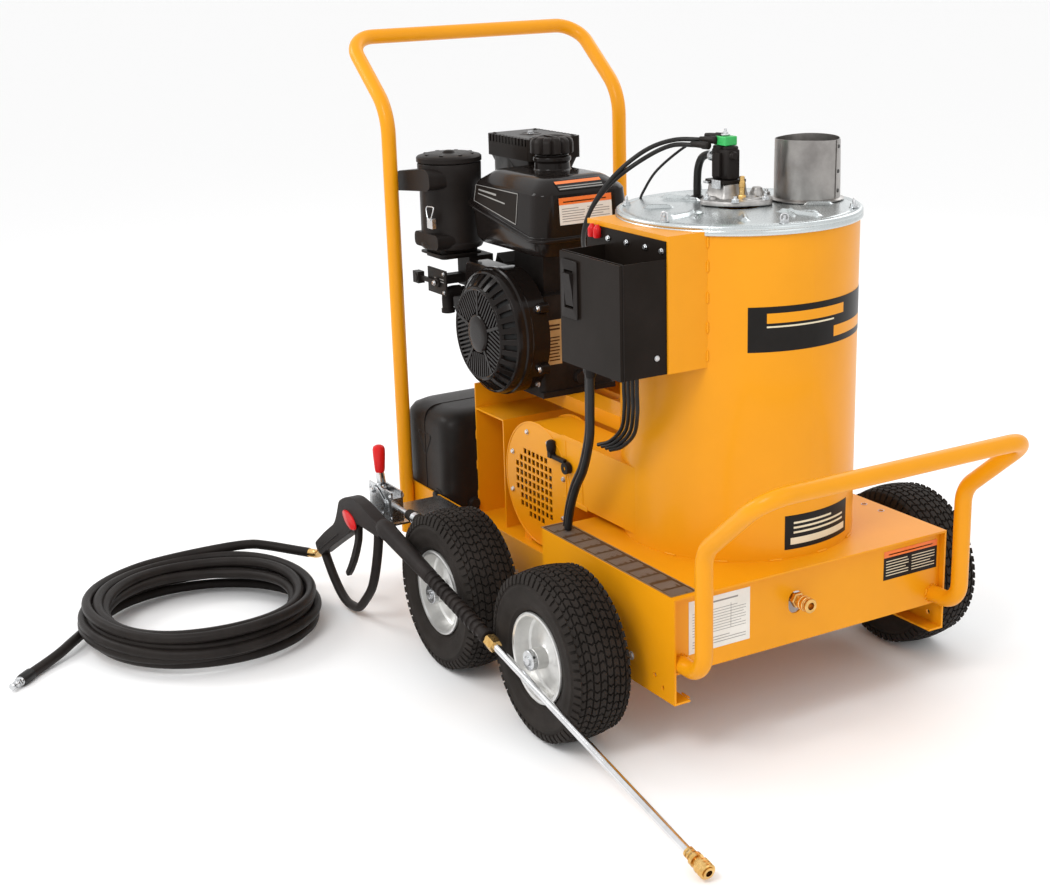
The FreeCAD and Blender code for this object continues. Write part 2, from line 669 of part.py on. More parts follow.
def fan():
    fx, fz = FAN
    sx, sy = SHELL
    y0, y1 = FAN_Y
    wall = 2.5
    outer = fuse([rod((fx, y0, fz), Y_AXIS, FAN_R, y1 - y0), box((fx, sx), (y0, y1), DUCT_Z)])
    inner_y = (y0 + wall, y1 - wall)
    inner_z = (DUCT_Z[0] + wall, DUCT_Z[1] - wall)
    inner = fuse([
        rod((fx, inner_y[0], fz), Y_AXIS, FAN_R - wall, inner_y[1] - inner_y[0]),
        box((fx, sx + 5), inner_y, inner_z),
    ])
    housing = outer.cut(inner)
    holes = []
    for i in range(9):
        for k in range(9):
            x, z = fx + 17 * (i - 5), fz + 17 * (k - 4.5)
            if math.hypot(x - fx + 10, z - fz + 2) < 84:
                holes.append(box((x - 6, x + 6), (y0 - 5, y0 + 6), (z - 6, z + 6)))
    housing = housing.cut(Part.makeCompound(holes))
    feet = [box((fx - 70, fx - 40), (y0 + 5, y1 - 5), (TRAY_Z, TRAY_Z + 40)),
            box((fx + 40, fx + 70), (y0 + 5, y1 - 5), (TRAY_Z, TRAY_Z + 40))]
    feet = [foot.cut(rod((fx, y0, fz), Y_AXIS, FAN_R - 1, y1 - y0)) for foot in feet]
    post = rod((85, y0 - 12, 408), Y_AXIS, 4.0, 14)
    housing = fuse([housing, post] + feet)
    housing = housing.cut(rod((fx, y1 - 10, fz), Y_AXIS, 6.05, 20))
    housing = housing.cut(rod((sx, sy, 300), Z_AXIS, SHELL_R, 300))
    wheel = [
        rod((fx, inner_y[1] - 12, fz), Y_AXIS, 92, 3),
        ring((fx, y0 + 10, fz), Y_AXIS, 92, 86, 3),
        rod((fx, inner_y[1] - 40, fz), Y_AXIS, 16, 30),
        rod((fx, inner_y[1] - 30, fz), Y_AXIS, 6, 50),
    ]
    blade = box((fx + 82, fx + 91), (y0 + 10, inner_y[1] - 9), (fz - 1.2, fz + 1.2))
    wheel += [turned(blade, (fx, 0, fz), Y_AXIS, 15 * k) for k in range(24)]
    motor = fuse([rod((fx, y1, fz), Y_AXIS, 55, 100), rod((fx, y1 + 100, fz), Y_AXIS, 20, 8)])
    motor = motor.cut(rod((fx, y1 - 1, fz), Y_AXIS, 6.05, 30))
    lever = fuse([
        rod((85, y0 - 14, 408), Y_AXIS, 12, 12),
        box((28, 80), (y0 - 12, y0 - 4), (416, 424)),
        box((20, 32), (y0 - 14, y0 - 2), (416, 446)),
    ])
    lever = lever.cut(rod((85, y0 - 20, 408), Y_AXIS, 4.05, 40))
    return {
        "fan_housing": housing,
        "fan_wheel": fuse(wheel),
        "fan_motor": motor,
        "shutter_lever": lever,
    }


def burner_tank():
    outer = rounded(box(BTANK_X, BTANK_Y, (TRAY_Z, BTANK_TOP)), 38, 30)
    inner = [(a + 5, b - 5) for a, b in (BTANK_X, BTANK_Y)] + [(TRAY_Z + 5, BTANK_TOP - 5)]
    neck = rod((BCAP[0], BCAP[1], BTANK_TOP - 4), Z_AXIS, 28, 22)
    throat = rod((BCAP[0], BCAP[1], BTANK_TOP - 20), Z_AXIS, 24, 60)
    drain = rod((BTANK_X[1] - 4, BTANK_Y[0] + 60, TRAY_Z + 24), X_AXIS, 12, 14)
    tank = fuse([outer.cut(rounded(box(*inner), 33, 25)), neck, drain]).cut(throat)
    cap = ring((BCAP[0], BCAP[1], BTANK_TOP + 4), Z_AXIS, 38, 28.3, 20)
    cap = fuse([cap, rod((BCAP[0], BCAP[1], BTANK_TOP + 18.3), Z_AXIS, 38, 8)])
    return {"burner_fuel_tank": tank, "burner_fuel_cap": cap}


def brake():
    px, pz = BRAKE_PIVOT
    y = BRAKE_Y
    base = fuse([
        box((-355, -235), (y - 28, -DECK_HALF + 36), (RAIL_TOP - 4, RAIL_TOP)),
        box((-355, -235), (-RAIL_HALF - 6, -RAIL_HALF), (RAIL_TOP - 50, RAIL_TOP)),
        box((-350, -240), (y - 14, y - 10), (RAIL_TOP, pz + 12)),
        box((-350, -240), (y + 10, y + 14), (RAIL_TOP, pz + 12)),
        box((-262, -240), (y - 10, y + 10), (RAIL_TOP, pz - 2)),
    ])
    guide = rod((-275, y, pz - 22), X_AXIS, 6.05, 50)
    base = base.cut(guide).cut(rod((px, y - 20, pz), Y_AXIS, 4.0, 40))
    plunger = fuse([
        rod((-271, y, pz - 22), X_AXIS, 6.0, 113),
        rod((-158, y, pz - 22), X_AXIS, 13, 16),
    ])
    handle = fuse([
        rod((px, y - 9, pz), Y_AXIS, 12, 18),
        box((px - 8, px + 8), (y - 4, y + 4), (pz, pz + 40)),
        rod((px, y, pz + 36), Z_AXIS, 11, 62),
        rod((px, y - 18, pz), Y_AXIS, 3.95, 36),
    ])
    return {"brake_base": base, "brake_plunger": plunger, "brake_handle": handle}


def outlet():
    y, z = OUTLET_Y, OUTLET_Z
    body = fuse([
        rod((590, y, z), X_AXIS, 9.0, 50),
        hexagon((PANEL_X, y, z), X_AXIS, 15, 10),
        ring((640, y, z), X_AXIS, 10.5, 6, 3),
    ])
    body = body.cut(rod((612, y, z), X_AXIS, 6.0, 40))
    sleeve = ring((619, y, z), X_AXIS, 14, 9.05, 20.7)
    return {"outlet_coupler": body, "outlet_sleeve": sleeve}


def lance_axis():
    start = V(LANCE_START[0], GUN_Y, LANCE_START[1])
    end = V(LANCE_END[0], GUN_Y, LANCE_END[1])
    return start, end, (end - start).normalize()


def gun():
    start, end, ahead = lance_axis()
    y0, y1 = GUN_Y - GUN_HALF, GUN_Y + GUN_HALF
    head = slab([(-405, 242), (-372, 276), (-322, 290), (-190, 262), (-190, 236), (-300, 236),
                 (-350, 200), (-520, 96), (-548, 120), (-430, 200)], y0, y1)
    loop = pipe([
        (-528, GUN_Y, 104), (-482, GUN_Y, 52), (-430, GUN_Y, 14), (-352, GUN_Y, 14),
        (-276, GUN_Y, 84), (-232, GUN_Y, 180), (-222, GUN_Y, 250),
    ], [60, 50, 60, 80, 80], 8.0)
    collar = rod(tuple(start), ahead, 15, 24)
    shroud = cone(tuple(start + ahead * 20), ahead, 18.5, SHROUD_TIP_R, WAND[0] - 20.5)
    body = fuse([head, loop, collar, shroud, rod((-500, GUN_Y, 130), V(-0.83, 0, -0.56), 13, 50)])
    pocket = box((-352, -290), (GUN_Y - 6.3, GUN_Y + 6.3), (170, 262))
    body = body.cut(pocket.common(slab([(-352, 180), (-300, 214), (-300, 262), (-352, 246)], y0, y1)))
    body = body.cut(rod((-322, y0 - 5, 240), Y_AXIS, 3.05, 40))
    body = body.cut(rod(tuple(start), ahead, LANCE_R, WAND[0]))
    trigger = slab([(-334, 236), (-312, 236), (-318, 190), (-352, 130), (-392, 84), (-402, 92),
                    (-366, 140), (-338, 192)], GUN_Y - 6, GUN_Y + 6)
    trigger = fuse([trigger, rod((-322, GUN_Y - 13, 240), Y_AXIS, 3.0, 26),
                    rod((-322, GUN_Y - 6, 240), Y_AXIS, 8, 12)])
    hose_way = (V(*LEAD[1]) - V(*LEAD[0])).normalize()
    elbow = V(*LEAD[0]) - hose_way * 24
    swivel = pipe([(-525, GUN_Y, 112), tuple(elbow), LEAD[0]], [24], SWIVEL_R)
    tube = rod(tuple(start), ahead, LANCE_R, (end - start).Length)
    nut = hexagon(tuple(start + ahead * (WAND[1] + 8)), ahead, 15, 24)
    coupler = rod(tuple(end), ahead, 9.0, COUPLER_LENGTH)
    lip = rod(tuple(end + ahead * (COUPLER_LENGTH - 2)), ahead, 10.5, 2)
    collar = rod(tuple(end), ahead, 13, 10)
    lance = fuse([tube, nut, coupler, lip, collar])
    lance = lance.cut(rod(tuple(end + ahead * 12), ahead, 6.0, 40))
    sleeve = ring(tuple(end + ahead * 18), ahead, 14.5, 9.05, COUPLER_LENGTH - 20.3)
    grip = ring(tuple(start + ahead * WAND[0]), ahead, SHROUD_TIP_R, LANCE_R, WAND[1] - WAND[0])
    return {
        "gun_body": body,
        "gun_trigger": trigger,
        "inlet_swivel": swivel.cut(body),
        "wand_grip": grip,
        "lance": lance.cut(body),
        "lance_sleeve": sleeve,
    }


def hose():
    cx, cy = COIL_CENTRE
    inner, outer = HOSE_RING
    coil = ring((cx, cy, 0), Z_AXIS, outer, inner, HOSE_RING_Z)
    lead = cord(LEAD, HOSE_R, "hose_lead")
    tail = cord(TAIL, HOSE_R, "hose_tail")
    last, before = V(*TAIL[-1]), V(*TAIL[-2])
    ahead = (last - before).normalize()
    nipple = fuse([rod(tuple(last), ahead, HOSE_R, 14), rod(tuple(last + ahead * 14), ahead, NIPPLE_R, 22)])
    return {
        "hose_lead": lead.cut(coil),
        "hose_coil": coil,
        "hose_tail": tail.cut(coil),
        "hose_end": nipple,
    }


def fasteners():
    """Hexagon heads of the switch box and of the shell lid."""
    heads = []
    for x in (330, 440):
        heads.append(hexagon((x, WEB_Y - 2, 910), V(0, -1, 0), 6, 5))
    for degrees in (-135, -75, -15, 45, 105, 165):
        turn = math.radians(degrees)
        place = (SHELL[0] + 212 * math.cos(turn), SHELL[1] + 212 * math.sin(turn), LID_TOP)
        heads.append(hexagon(place, Z_AXIS, 7, 9))
    return Part.makeCompound(heads)


def build():
    block = engine_block()
    nodes = {"chassis": chassis(), "engine_bench": engine_bench(), "engine_block": block}
    nodes["crankshaft"] = crankshaft()
    nodes["recoil_shroud"] = recoil_shroud()
    nodes["pump"] = pump()
    nodes["axles"] = axles()
    nodes["control_cables"] = control_cables()
    nodes["fasteners"] = fasteners()
    for group in (handles(), wheels(), engine_tank(), muffler(block), air_cleaner(block), heater(),
                  burner(), switch_box(), fan(), burner_tank(), brake(), outlet(), gun(), hose()):
        nodes.update(group)
    return nodes


CORD_NODES = ("hose_lead", "hose_coil", "hose_tail", "hose_end")
NODES = build()
low = V(1e9, 1e9, 0)
high = V(-1e9, -1e9, 0)
for name, shape in NODES.items():
    if name not in CORD_NODES:
        bound = shape.optimalBoundingBox(False)
        low = V(min(low.x, bound.XMin), min(low.y, bound.YMin), 0)
        high = V(max(high.x, bound.XMax), max(high.y, bound.YMax), 0)
SHIFT = (low + high) * -0.5

os.makedirs("parts", exist_ok=True)
for name, shape in NODES.items():
    shape.translate(SHIFT)
    shape.exportStep(f"parts/{name}.step")
print(len(NODES), "nodes, shift", SHIFT, "span", high - low)
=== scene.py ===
"""Looks of the hot-water pressure washer: its camera, its studio and the detail on its frame.

Shapes are drawn in millimetres in the part's own drawing frame: X forward from the push handle,
-Y the near side, Z up from the floor. TO_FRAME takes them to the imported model's metres.
"""
import math
import random

import bmesh
import bpy
from mathutils import Matrix, Vector


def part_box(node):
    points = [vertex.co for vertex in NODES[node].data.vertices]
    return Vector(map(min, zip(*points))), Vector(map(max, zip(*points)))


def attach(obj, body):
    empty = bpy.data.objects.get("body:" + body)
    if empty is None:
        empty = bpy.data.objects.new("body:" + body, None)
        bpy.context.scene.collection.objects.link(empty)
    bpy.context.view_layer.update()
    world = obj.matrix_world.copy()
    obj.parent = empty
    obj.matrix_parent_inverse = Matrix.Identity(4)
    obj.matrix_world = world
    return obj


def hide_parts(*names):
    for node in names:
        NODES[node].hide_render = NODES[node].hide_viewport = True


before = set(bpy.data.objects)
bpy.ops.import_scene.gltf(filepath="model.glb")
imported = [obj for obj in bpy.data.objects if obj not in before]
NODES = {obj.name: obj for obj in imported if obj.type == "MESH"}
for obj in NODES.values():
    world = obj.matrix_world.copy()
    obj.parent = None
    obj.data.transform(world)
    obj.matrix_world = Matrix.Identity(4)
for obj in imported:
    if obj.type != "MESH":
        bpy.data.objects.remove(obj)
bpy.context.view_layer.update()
random.seed(7)

X, Y, Z = Vector((1, 0, 0)), Vector((0, 1, 0)), Vector((0, 0, 1))
SHELL = Vector((343, 18, 0))
SHELL_R = 224
shell_low, shell_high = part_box("heater_shell")
SHIFT = (shell_low + shell_high) / 2 - SHELL / 1000
SHIFT.z = 0
TO_FRAME = Matrix.Translation(SHIFT) @ Matrix.Scale(0.001, 4)


def metres(point):
    """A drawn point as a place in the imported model."""
    return TO_FRAME @ Vector(point)


# ---------------------------------------------------------------- camera, floor and light

CAMERA_PLACE = (2869, -1893, 1441)
CAMERA_VIEW = Vector((-0.8321, 0.4739, -0.2882))
CAMERA_ROLL = math.radians(-1.74)
LENS = 58.0
FLOOR = 90


def studio():
    """The camera, an even white surround, four soft lamps and the floor."""
    scene = bpy.context.scene
    camera = bpy.data.objects.new("camera", bpy.data.cameras.new("camera"))
    scene.collection.objects.link(camera)
    camera.data.lens = LENS
    camera.data.sensor_width = 36
    camera.data.clip_end = 300
    turn = CAMERA_VIEW.to_track_quat("-Z", "Y").to_matrix().to_4x4()
    place = Matrix.Translation(metres(CAMERA_PLACE))
    camera.matrix_world = place @ turn @ Matrix.Rotation(CAMERA_ROLL, 4, "Z")
    scene.camera = camera

    world = bpy.data.worlds.new("studio")
    scene.world = world
    world.use_nodes = True
    world.node_tree.nodes["Background"].inputs[0].default_value = (1, 1, 1, 1)
    world.node_tree.nodes["Background"].inputs[1].default_value = 1.0
    scene.view_settings.view_transform = "Standard"

    lights = (
        ("key", (1.2, -3.0, 3.4), 1.3, 54),
        ("front", (3.6, 0.4, 2.4), 2.0, 8),
        ("side", (-2.6, -2.2, 2.6), 1.2, 26),
        ("back", (-1.2, 3.0, 3.0), 2.5, 30),
    )
    for name, place, size, power in lights:
        light = bpy.data.lights.new(name, "AREA")
        light.size = size
        light.energy = power
        lamp = bpy.data.objects.new(name, light)
        scene.collection.objects.link(lamp)
        lamp.location = place
        lamp.rotation_euler = (Vector((0, 0, 0.4)) - Vector(place)).to_track_quat("-Z", "Y").to_euler()

    floor = bpy.data.meshes.new("floor")
    floor.from_pydata([(*corner, 0) for corner in rectangle(-FLOOR, FLOOR, -FLOOR, FLOOR)], [],
                      [(0, 1, 2, 3)])
    ground = bpy.data.objects.new("floor", floor)
    scene.collection.objects.link(ground)
    floor.materials.append(plain("floor_paper", (0.96, 0.96, 0.96), 0.95))


# ---------------------------------------------------------------- materials


def plain(name, colour, rough, metal=0.0):
    """A material of even colour, for the floor and the print on labels."""
    material = bpy.data.materials.new(name)
    material.use_nodes = True
    shader = material.node_tree.nodes["Principled BSDF"]
    shader.inputs["Base Color"].default_value = (*colour, 1)
    shader.inputs["Roughness"].default_value = rough
    shader.inputs["Metallic"].default_value = metal
    return material


def surface(name, dark, light, rough, metal=0.0, coat=0.0, patch=6.0, grain=400.0, bump=0.1,
            stretch=(1, 1, 1), marks=None, specular=0.5):
    """A procedural finish.

    The colour wanders between dark and light over patches, patch and grain being per metre. The
    grain drives the roughness and the bump, stretch draws it out into brushing, and marks is
    (colour, share) of small scuffs.
    """
    material = plain(name, dark, rough[0], metal)
    tree = material.node_tree
    shader = tree.nodes["Principled BSDF"]
    shader.inputs["Coat Weight"].default_value = coat
    shader.inputs["Specular IOR Level"].default_value = specular
    shader.inputs["Coat Roughness"].default_value = 0.08

    def node(kind, **values):
        made = tree.nodes.new(kind)
        for key, value in values.items():
            made.inputs[key].default_value = value
        return made

    link = tree.links.new
    where = tree.nodes.new("ShaderNodeTexCoord").outputs["Object"]
    wander = node("ShaderNodeTexNoise", Scale=patch, Detail=5.0, Roughness=0.62)
    link(where, wander.inputs["Vector"])
    ramp = tree.nodes.new("ShaderNodeValToRGB")
    ramp.color_ramp.elements[0].position = 0.3
    ramp.color_ramp.elements[0].color = (*dark, 1)
    ramp.color_ramp.elements[1].position = 0.7
    ramp.color_ramp.elements[1].color = (*light, 1)
    link(wander.outputs["Fac"], ramp.inputs["Fac"])
    colour = ramp.outputs["Color"]

    if marks:
        scuff = node("ShaderNodeTexNoise", Scale=70.0, Detail=8.0, Roughness=0.75)
        link(where, scuff.inputs["Vector"])
        edge = tree.nodes.new("ShaderNodeMapRange")
        edge.inputs["From Min"].default_value = 1 - marks[1]
        edge.inputs["From Max"].default_value = 1 - marks[1] + 0.05
        link(scuff.outputs["Fac"], edge.inputs["Value"])
        worn = tree.nodes.new("ShaderNodeMix")
        worn.data_type = "RGBA"
        worn.inputs[7].default_value = (*marks[0], 1)
        link(edge.outputs["Result"], worn.inputs[0])
        link(colour, worn.inputs[6])
        colour = worn.outputs[2]
    link(colour, shader.inputs["Base Color"])

    spread = tree.nodes.new("ShaderNodeMapping")
    spread.inputs["Scale"].default_value = stretch
    link(where, spread.inputs["Vector"])
    fine = node("ShaderNodeTexNoise", Scale=grain, Detail=4.0, Roughness=0.55)
    link(spread.outputs["Vector"], fine.inputs["Vector"])
    gloss = tree.nodes.new("ShaderNodeMapRange")
    gloss.inputs["To Min"].default_value = rough[0]
    gloss.inputs["To Max"].default_value = rough[1]
    link(fine.outputs["Fac"], gloss.inputs["Value"])
    link(gloss.outputs["Result"], shader.inputs["Roughness"])
    relief = node("ShaderNodeBump", Strength=bump, Distance=0.0006)
    link(fine.outputs["Fac"], relief.inputs["Height"])
    link(relief.outputs["Normal"], shader.inputs["Normal"])
    return material


YELLOW = surface("yellow_powder_coat", (0.75, 0.295, 0.003), (0.81, 0.322, 0.005), (0.3, 0.4), coat=0.06,
                 patch=4, grain=900, bump=0.10, specular=0.22)
BLACK = surface("black_enamel", (0.011, 0.008, 0.006), (0.016, 0.012, 0.010), (0.24, 0.36), coat=0.04,
                patch=9, grain=700, bump=0.12, marks=((0.03, 0.026, 0.024), 0.27), specular=0.05)
GLOSS = surface("gloss_black", (0.009, 0.007, 0.006), (0.013, 0.010, 0.009), (0.12, 0.2), coat=0.1,
                patch=9, grain=500, bump=0.05, marks=((0.03, 0.026, 0.024), 0.27), specular=0.1)
CAST = surface("black_casting", (0.011, 0.009, 0.008), (0.022, 0.018, 0.016), (0.4, 0.6), patch=30,
               grain=500, bump=0.5, marks=((0.06, 0.052, 0.047), 0.3), specular=0.1)
PLASTIC = surface("black_plastic", (0.012, 0.0095, 0.0085), (0.019, 0.0155, 0.014), (0.32, 0.46), patch=12,
                  grain=1300, bump=0.2, marks=((0.04, 0.035, 0.032), 0.28), specular=0.1)
SATIN = surface("satin_tank_plastic", (0.012, 0.010, 0.009), (0.021, 0.017, 0.015), (0.3, 0.42), patch=7,
                grain=1100, bump=0.25, marks=((0.045, 0.04, 0.037), 0.27), specular=0.12)
RUBBER = surface("tyre_rubber", (0.016, 0.013, 0.011), (0.030, 0.025, 0.022), (0.55, 0.75), patch=14,
                 grain=700, bump=0.3, marks=((0.07, 0.06, 0.052), 0.3), specular=0.1)
HOSE = surface("hose_cover", (0.013, 0.0105, 0.0095), (0.022, 0.018, 0.016), (0.34, 0.52), patch=18,
               grain=1200, bump=0.35, marks=((0.06, 0.052, 0.047), 0.29), specular=0.12)
GRIP = surface("gun_plastic", (0.014, 0.011, 0.010), (0.024, 0.019, 0.017), (0.4, 0.58), patch=16,
               grain=1500, bump=0.4, marks=((0.06, 0.052, 0.047), 0.27), specular=0.12)
ZINC = surface("galvanised_sheet", (0.50, 0.535, 0.54), (0.63, 0.67, 0.675), (0.2, 0.36), metal=1.0,
               patch=9, grain=420, bump=0.08)
PLATED = surface("zinc_plate", (0.50, 0.51, 0.52), (0.72, 0.73, 0.74), (0.2, 0.36), metal=1.0, patch=40,
                 grain=600, bump=0.1, marks=((0.25, 0.24, 0.22), 0.32))
RIM = surface("rim_steel", (0.60, 0.595, 0.58), (0.80, 0.795, 0.775), (0.28, 0.44), metal=0.85, patch=16,
              grain=260, bump=0.12, stretch=(1, 6, 1), marks=((0.36, 0.34, 0.31), 0.3))
DULL = surface("dull_flue_sheet", (0.24, 0.225, 0.215), (0.44, 0.42, 0.40), (0.24, 0.42), metal=0.95,
               patch=11, grain=300, bump=0.15, stretch=(1, 1, 0.15), marks=((0.2, 0.16, 0.12), 0.33))
ALUMINIUM = surface("cast_aluminium", (0.30, 0.29, 0.28), (0.50, 0.485, 0.47), (0.36, 0.52), metal=0.9,
                    patch=50, grain=450, bump=0.35, marks=((0.16, 0.15, 0.13), 0.33))
STEEL = surface("polished_steel", (0.62, 0.62, 0.63), (0.82, 0.82, 0.83), (0.1, 0.22), metal=1.0, patch=25,
                grain=220, bump=0.05, stretch=(8, 1, 1), marks=((0.3, 0.3, 0.3), 0.28))
PIPE = surface("black_pipe", (0.05, 0.05, 0.05), (0.12, 0.115, 0.11), (0.4, 0.6), metal=0.8, patch=25,
               grain=400, bump=0.2, marks=((0.16, 0.1, 0.06), 0.32))
BRASS = surface("brass", (0.62, 0.36, 0.10), (0.86, 0.58, 0.24), (0.16, 0.32), metal=1.0, patch=60,
                grain=500, bump=0.06, marks=((0.35, 0.2, 0.07), 0.3))
RED = surface("red_vinyl", (0.56, 0.006, 0.008), (0.68, 0.012, 0.012), (0.25, 0.4), coat=0.1, patch=40,
              grain=700, bump=0.1, specular=0.2)
GREEN = surface("green_connector", (0.02, 0.36, 0.07), (0.04, 0.5, 0.12), (0.3, 0.45), patch=50,
                grain=900, bump=0.12)
WIRE = surface("wire_sleeve", (0.008, 0.0075, 0.007), (0.015, 0.014, 0.013), (0.28, 0.45), patch=30,
               grain=1000, bump=0.15, specular=0.25)
# Matte near-black, used for two things: the own black of the axle collars' set screws, and painted shade
# under the recoil cover's louvres and grille.
BLACK_AND_SHADE = surface("black_screw_and_painted_shade", (0.004, 0.004, 0.004), (0.008, 0.008, 0.008), (0.7, 0.85), patch=20,
               grain=500, bump=0.1)

PAPER = {"patch": 20, "grain": 900, "bump": 0.04, "specular": 0.12}
PRINT = {"patch": 30, "grain": 900, "bump": 0.02}
LABEL_BLACK = surface("label_black", (0.010, 0.009, 0.008), (0.015, 0.013, 0.012), (0.3, 0.4), **PAPER)
LABEL_BROWN = surface("label_brown", (0.055, 0.028, 0.014), (0.07, 0.036, 0.018), (0.35, 0.45), **PAPER)
LABEL_WHITE = surface("label_white", (0.70, 0.68, 0.62), (0.80, 0.78, 0.73), (0.35, 0.45), **PAPER)
LABEL_TAN = surface("label_tan", (0.45, 0.33, 0.16), (0.55, 0.41, 0.21), (0.35, 0.45),
                    **PAPER | {"patch": 30})
INK_CREAM = surface("print_cream", (0.66, 0.58, 0.40), (0.74, 0.66, 0.48), (0.35, 0.45), **PRINT)
INK_ORANGE = surface("print_orange", (0.80, 0.16, 0.02), (0.88, 0.2, 0.03), (0.35, 0.45), **PRINT)
INK_GREY = surface("print_grey", (0.22, 0.21, 0.2), (0.3, 0.29, 0.27), (0.4, 0.5), **PRINT)

# ---------------------------------------------------------------- mesh tools


def square_to(axis):
    """Two directions square to an axis and to each other."""
    axis = axis.normalized()
    side = (Z if abs(axis.z) < 0.9 else X).cross(axis).normalized()
    return side, axis.cross(side)


def turn_about(centre, axis, degrees):
    """A turn about an axis through a point."""
    centre = Matrix.Translation(Vector(centre))
    return centre @ Matrix.Rotation(math.radians(degrees), 4, axis) @ centre.inverted()


def turns(count):
    """The angles of equal steps round a full turn."""
    return [2 * math.pi * k / count for k in range(count)]


def around(radius, turn, height=0):
    """A point at a radius and an angle about Z."""
    return Vector((radius * math.cos(turn), radius * math.sin(turn), height))


def add_loft(bm, rings, closed=False):
    """Skin through rings of points, each with the same number of points, and cap the two ends."""
    made = [[bm.verts.new(p) for p in ring] for ring in rings]
    pairs = list(zip(made, made[1:])) + ([(made[-1], made[0])] if closed else [])
    for a, b in pairs:
        for i in range(len(a)):
            k = (i + 1) % len(a)
            bm.faces.new((a[i], a[k], b[k], b[i]))
    if not closed:
        bm.faces.new(list(reversed(made[0])))
        bm.faces.new(made[-1])
    return [v for ring in made for v in ring]


def add_turned(bm, centre, axis, profile, segments=48, closed=False):
    """A profile of (distance along the axis, radius) turned about the axis."""
    centre = Vector(centre)
    axis = axis.normalized()
    side, other = square_to(axis)
    spokes = [side * math.cos(turn) + other * math.sin(turn) for turn in turns(segments)]
    rings = [[centre + axis * along + spoke * max(radius, 0.05) for spoke in spokes] for along,
             radius in profile]
    return add_loft(bm, rings, closed=closed)


def add_rod(bm, start, axis, radius, length, segments=24, edge=0.8):
    """A round bar with softened ends."""
    edge = min(edge, radius * 0.4, length * 0.3)
    profile = [(0, radius - edge), (edge * 0.3, radius - edge * 0.3), (edge, radius), (length - edge, radius),
               (length - edge * 0.3, radius - edge * 0.3), (length, radius - edge)]
    return add_turned(bm, start, axis, profile, segments)


def add_hexagon(bm, start, axis, radius, length):
    """A bolt head or nut with chamfered corners; radius is to the corners."""
    return add_turned(bm, start, axis, [(0, radius), (length * 0.8, radius), (length, radius * 0.86)], 6)


def add_box(bm, x, y, z, matrix=None):
    """A box over three spans, moved by a matrix when one is given."""
    corners = [(a, b) for a, b in ((x[0], y[0]), (x[1], y[0]), (x[1], y[1]), (x[0], y[1]))]
    verts = add_loft(bm, [[Vector((a, b, height)) for a, b in corners] for height in z])
    if matrix:
        bmesh.ops.transform(bm, matrix=matrix, verts=verts)
    return verts


def add_slab(bm, outline, start, end, plane="XZ"):
    """An outline drawn in a plane and pulled through its third axis."""
    order = {"XZ": (0, 2, 1), "XY": (0, 1, 2), "YZ": (2, 0, 1)}[plane]
    return add_loft(bm, [[Vector([(a, b, c)[i] for i in order]) for a, b in outline] for c in (start, end)])


def flat_ring(outline, height):
    """An outline drawn in XY, as points at a height."""
    return [Vector((x, y, height)) for x, y in outline]


def add_scaled(bm, outline, centre, levels):
    """An XY outline skinned through (scale, height) levels about a centre."""
    cx, cy = centre
    add_loft(bm, [flat_ring([(cx + x * scale, cy + y * scale) for x, y in outline], z) for scale,
                  z in levels])


def add_frame(bm, rings):
    """A closed frame through (XZ outline, y) rings."""
    add_loft(bm, [[Vector((x, y, z)) for x, z in outline] for outline, y in rings], closed=True)


def add_fluted(bm, centre, levels, count, flute):
    """A cap through (height, radius, depth) levels; flute(turn) is the share of the depth cut away there."""
    add_loft(bm, [[centre + around(radius - depth * flute(turn), turn, height) for turn in turns(count)]
                  for height, radius, depth in levels])


def smooth_path(points, steps=8):
    """Points along a smooth line through the given points."""
    points = [Vector(p) for p in points]
    ends = [points[0] * 2 - points[1]] + points + [points[-1] * 2 - points[-2]]
    line = []
    for a, b, c, d in zip(ends, ends[1:], ends[2:], ends[3:]):
        for k in range(steps):
            t = k / steps
            line.append(0.5 * ((2 * b) + (c - a) * t + (2 * a - 5 * b + 4 * c - d) * t * t
                               + (3 * b - a - 3 * c + d) * t * t * t))
    return line + [points[-1]]


def add_sweep(bm, line, section):
    """Carry a section of (side, up) points along a line."""
    tangents = [(line[min(i + 1, len(line) - 1)] - line[max(i - 1, 0)]).normalized()
                for i in range(len(line))]
    side = square_to(tangents[0])[0]
    rings = []
    for point, tangent in zip(line, tangents):
        side = (side - tangent * side.dot(tangent)).normalized()
        up = tangent.cross(side)
        rings.append([point + side * a + up * b for a, b in section])
    return add_loft(bm, rings)


def add_tube(bm, points, radius, segments=12, steps=8):
    """A round tube along a smooth line through points."""
    circle = [(radius * math.cos(turn), radius * math.sin(turn)) for turn in turns(segments)]
    return add_sweep(bm, smooth_path(points, steps), circle)


def round_corners(corners, radius, steps=5):
    """A flat outline with its corners rounded."""
    outline = []
    count = len(corners)
    for i, corner in enumerate(corners):
        here = Vector(corner).to_2d()
        back = (Vector(corners[i - 1]).to_2d() - here)
        ahead = (Vector(corners[(i + 1) % count]).to_2d() - here)
        reach = min(radius, back.length * 0.45, ahead.length * 0.45)
        a, b = here + back.normalized() * reach, here + ahead.normalized() * reach
        for k in range(steps + 1):
            t = k / steps
            outline.append(tuple(a * (1 - t) ** 2 + here * 2 * t * (1 - t) + b * t * t))
    return outline


def rectangle(x0, x1, y0, y1):
    """The four corners of an upright rectangle."""
    return [(x0, y0), (x1, y0), (x1, y1), (x0, y1)]


def rounded_box(span_x, span_y, inset, radius, steps=5):
    """A rectangle drawn in by an inset, with rounded corners."""
    (x0, x1), (y0, y1) = span_x, span_y
    return round_corners(rectangle(x0 + inset, x1 - inset, y0 + inset, y1 - inset), radius, steps)


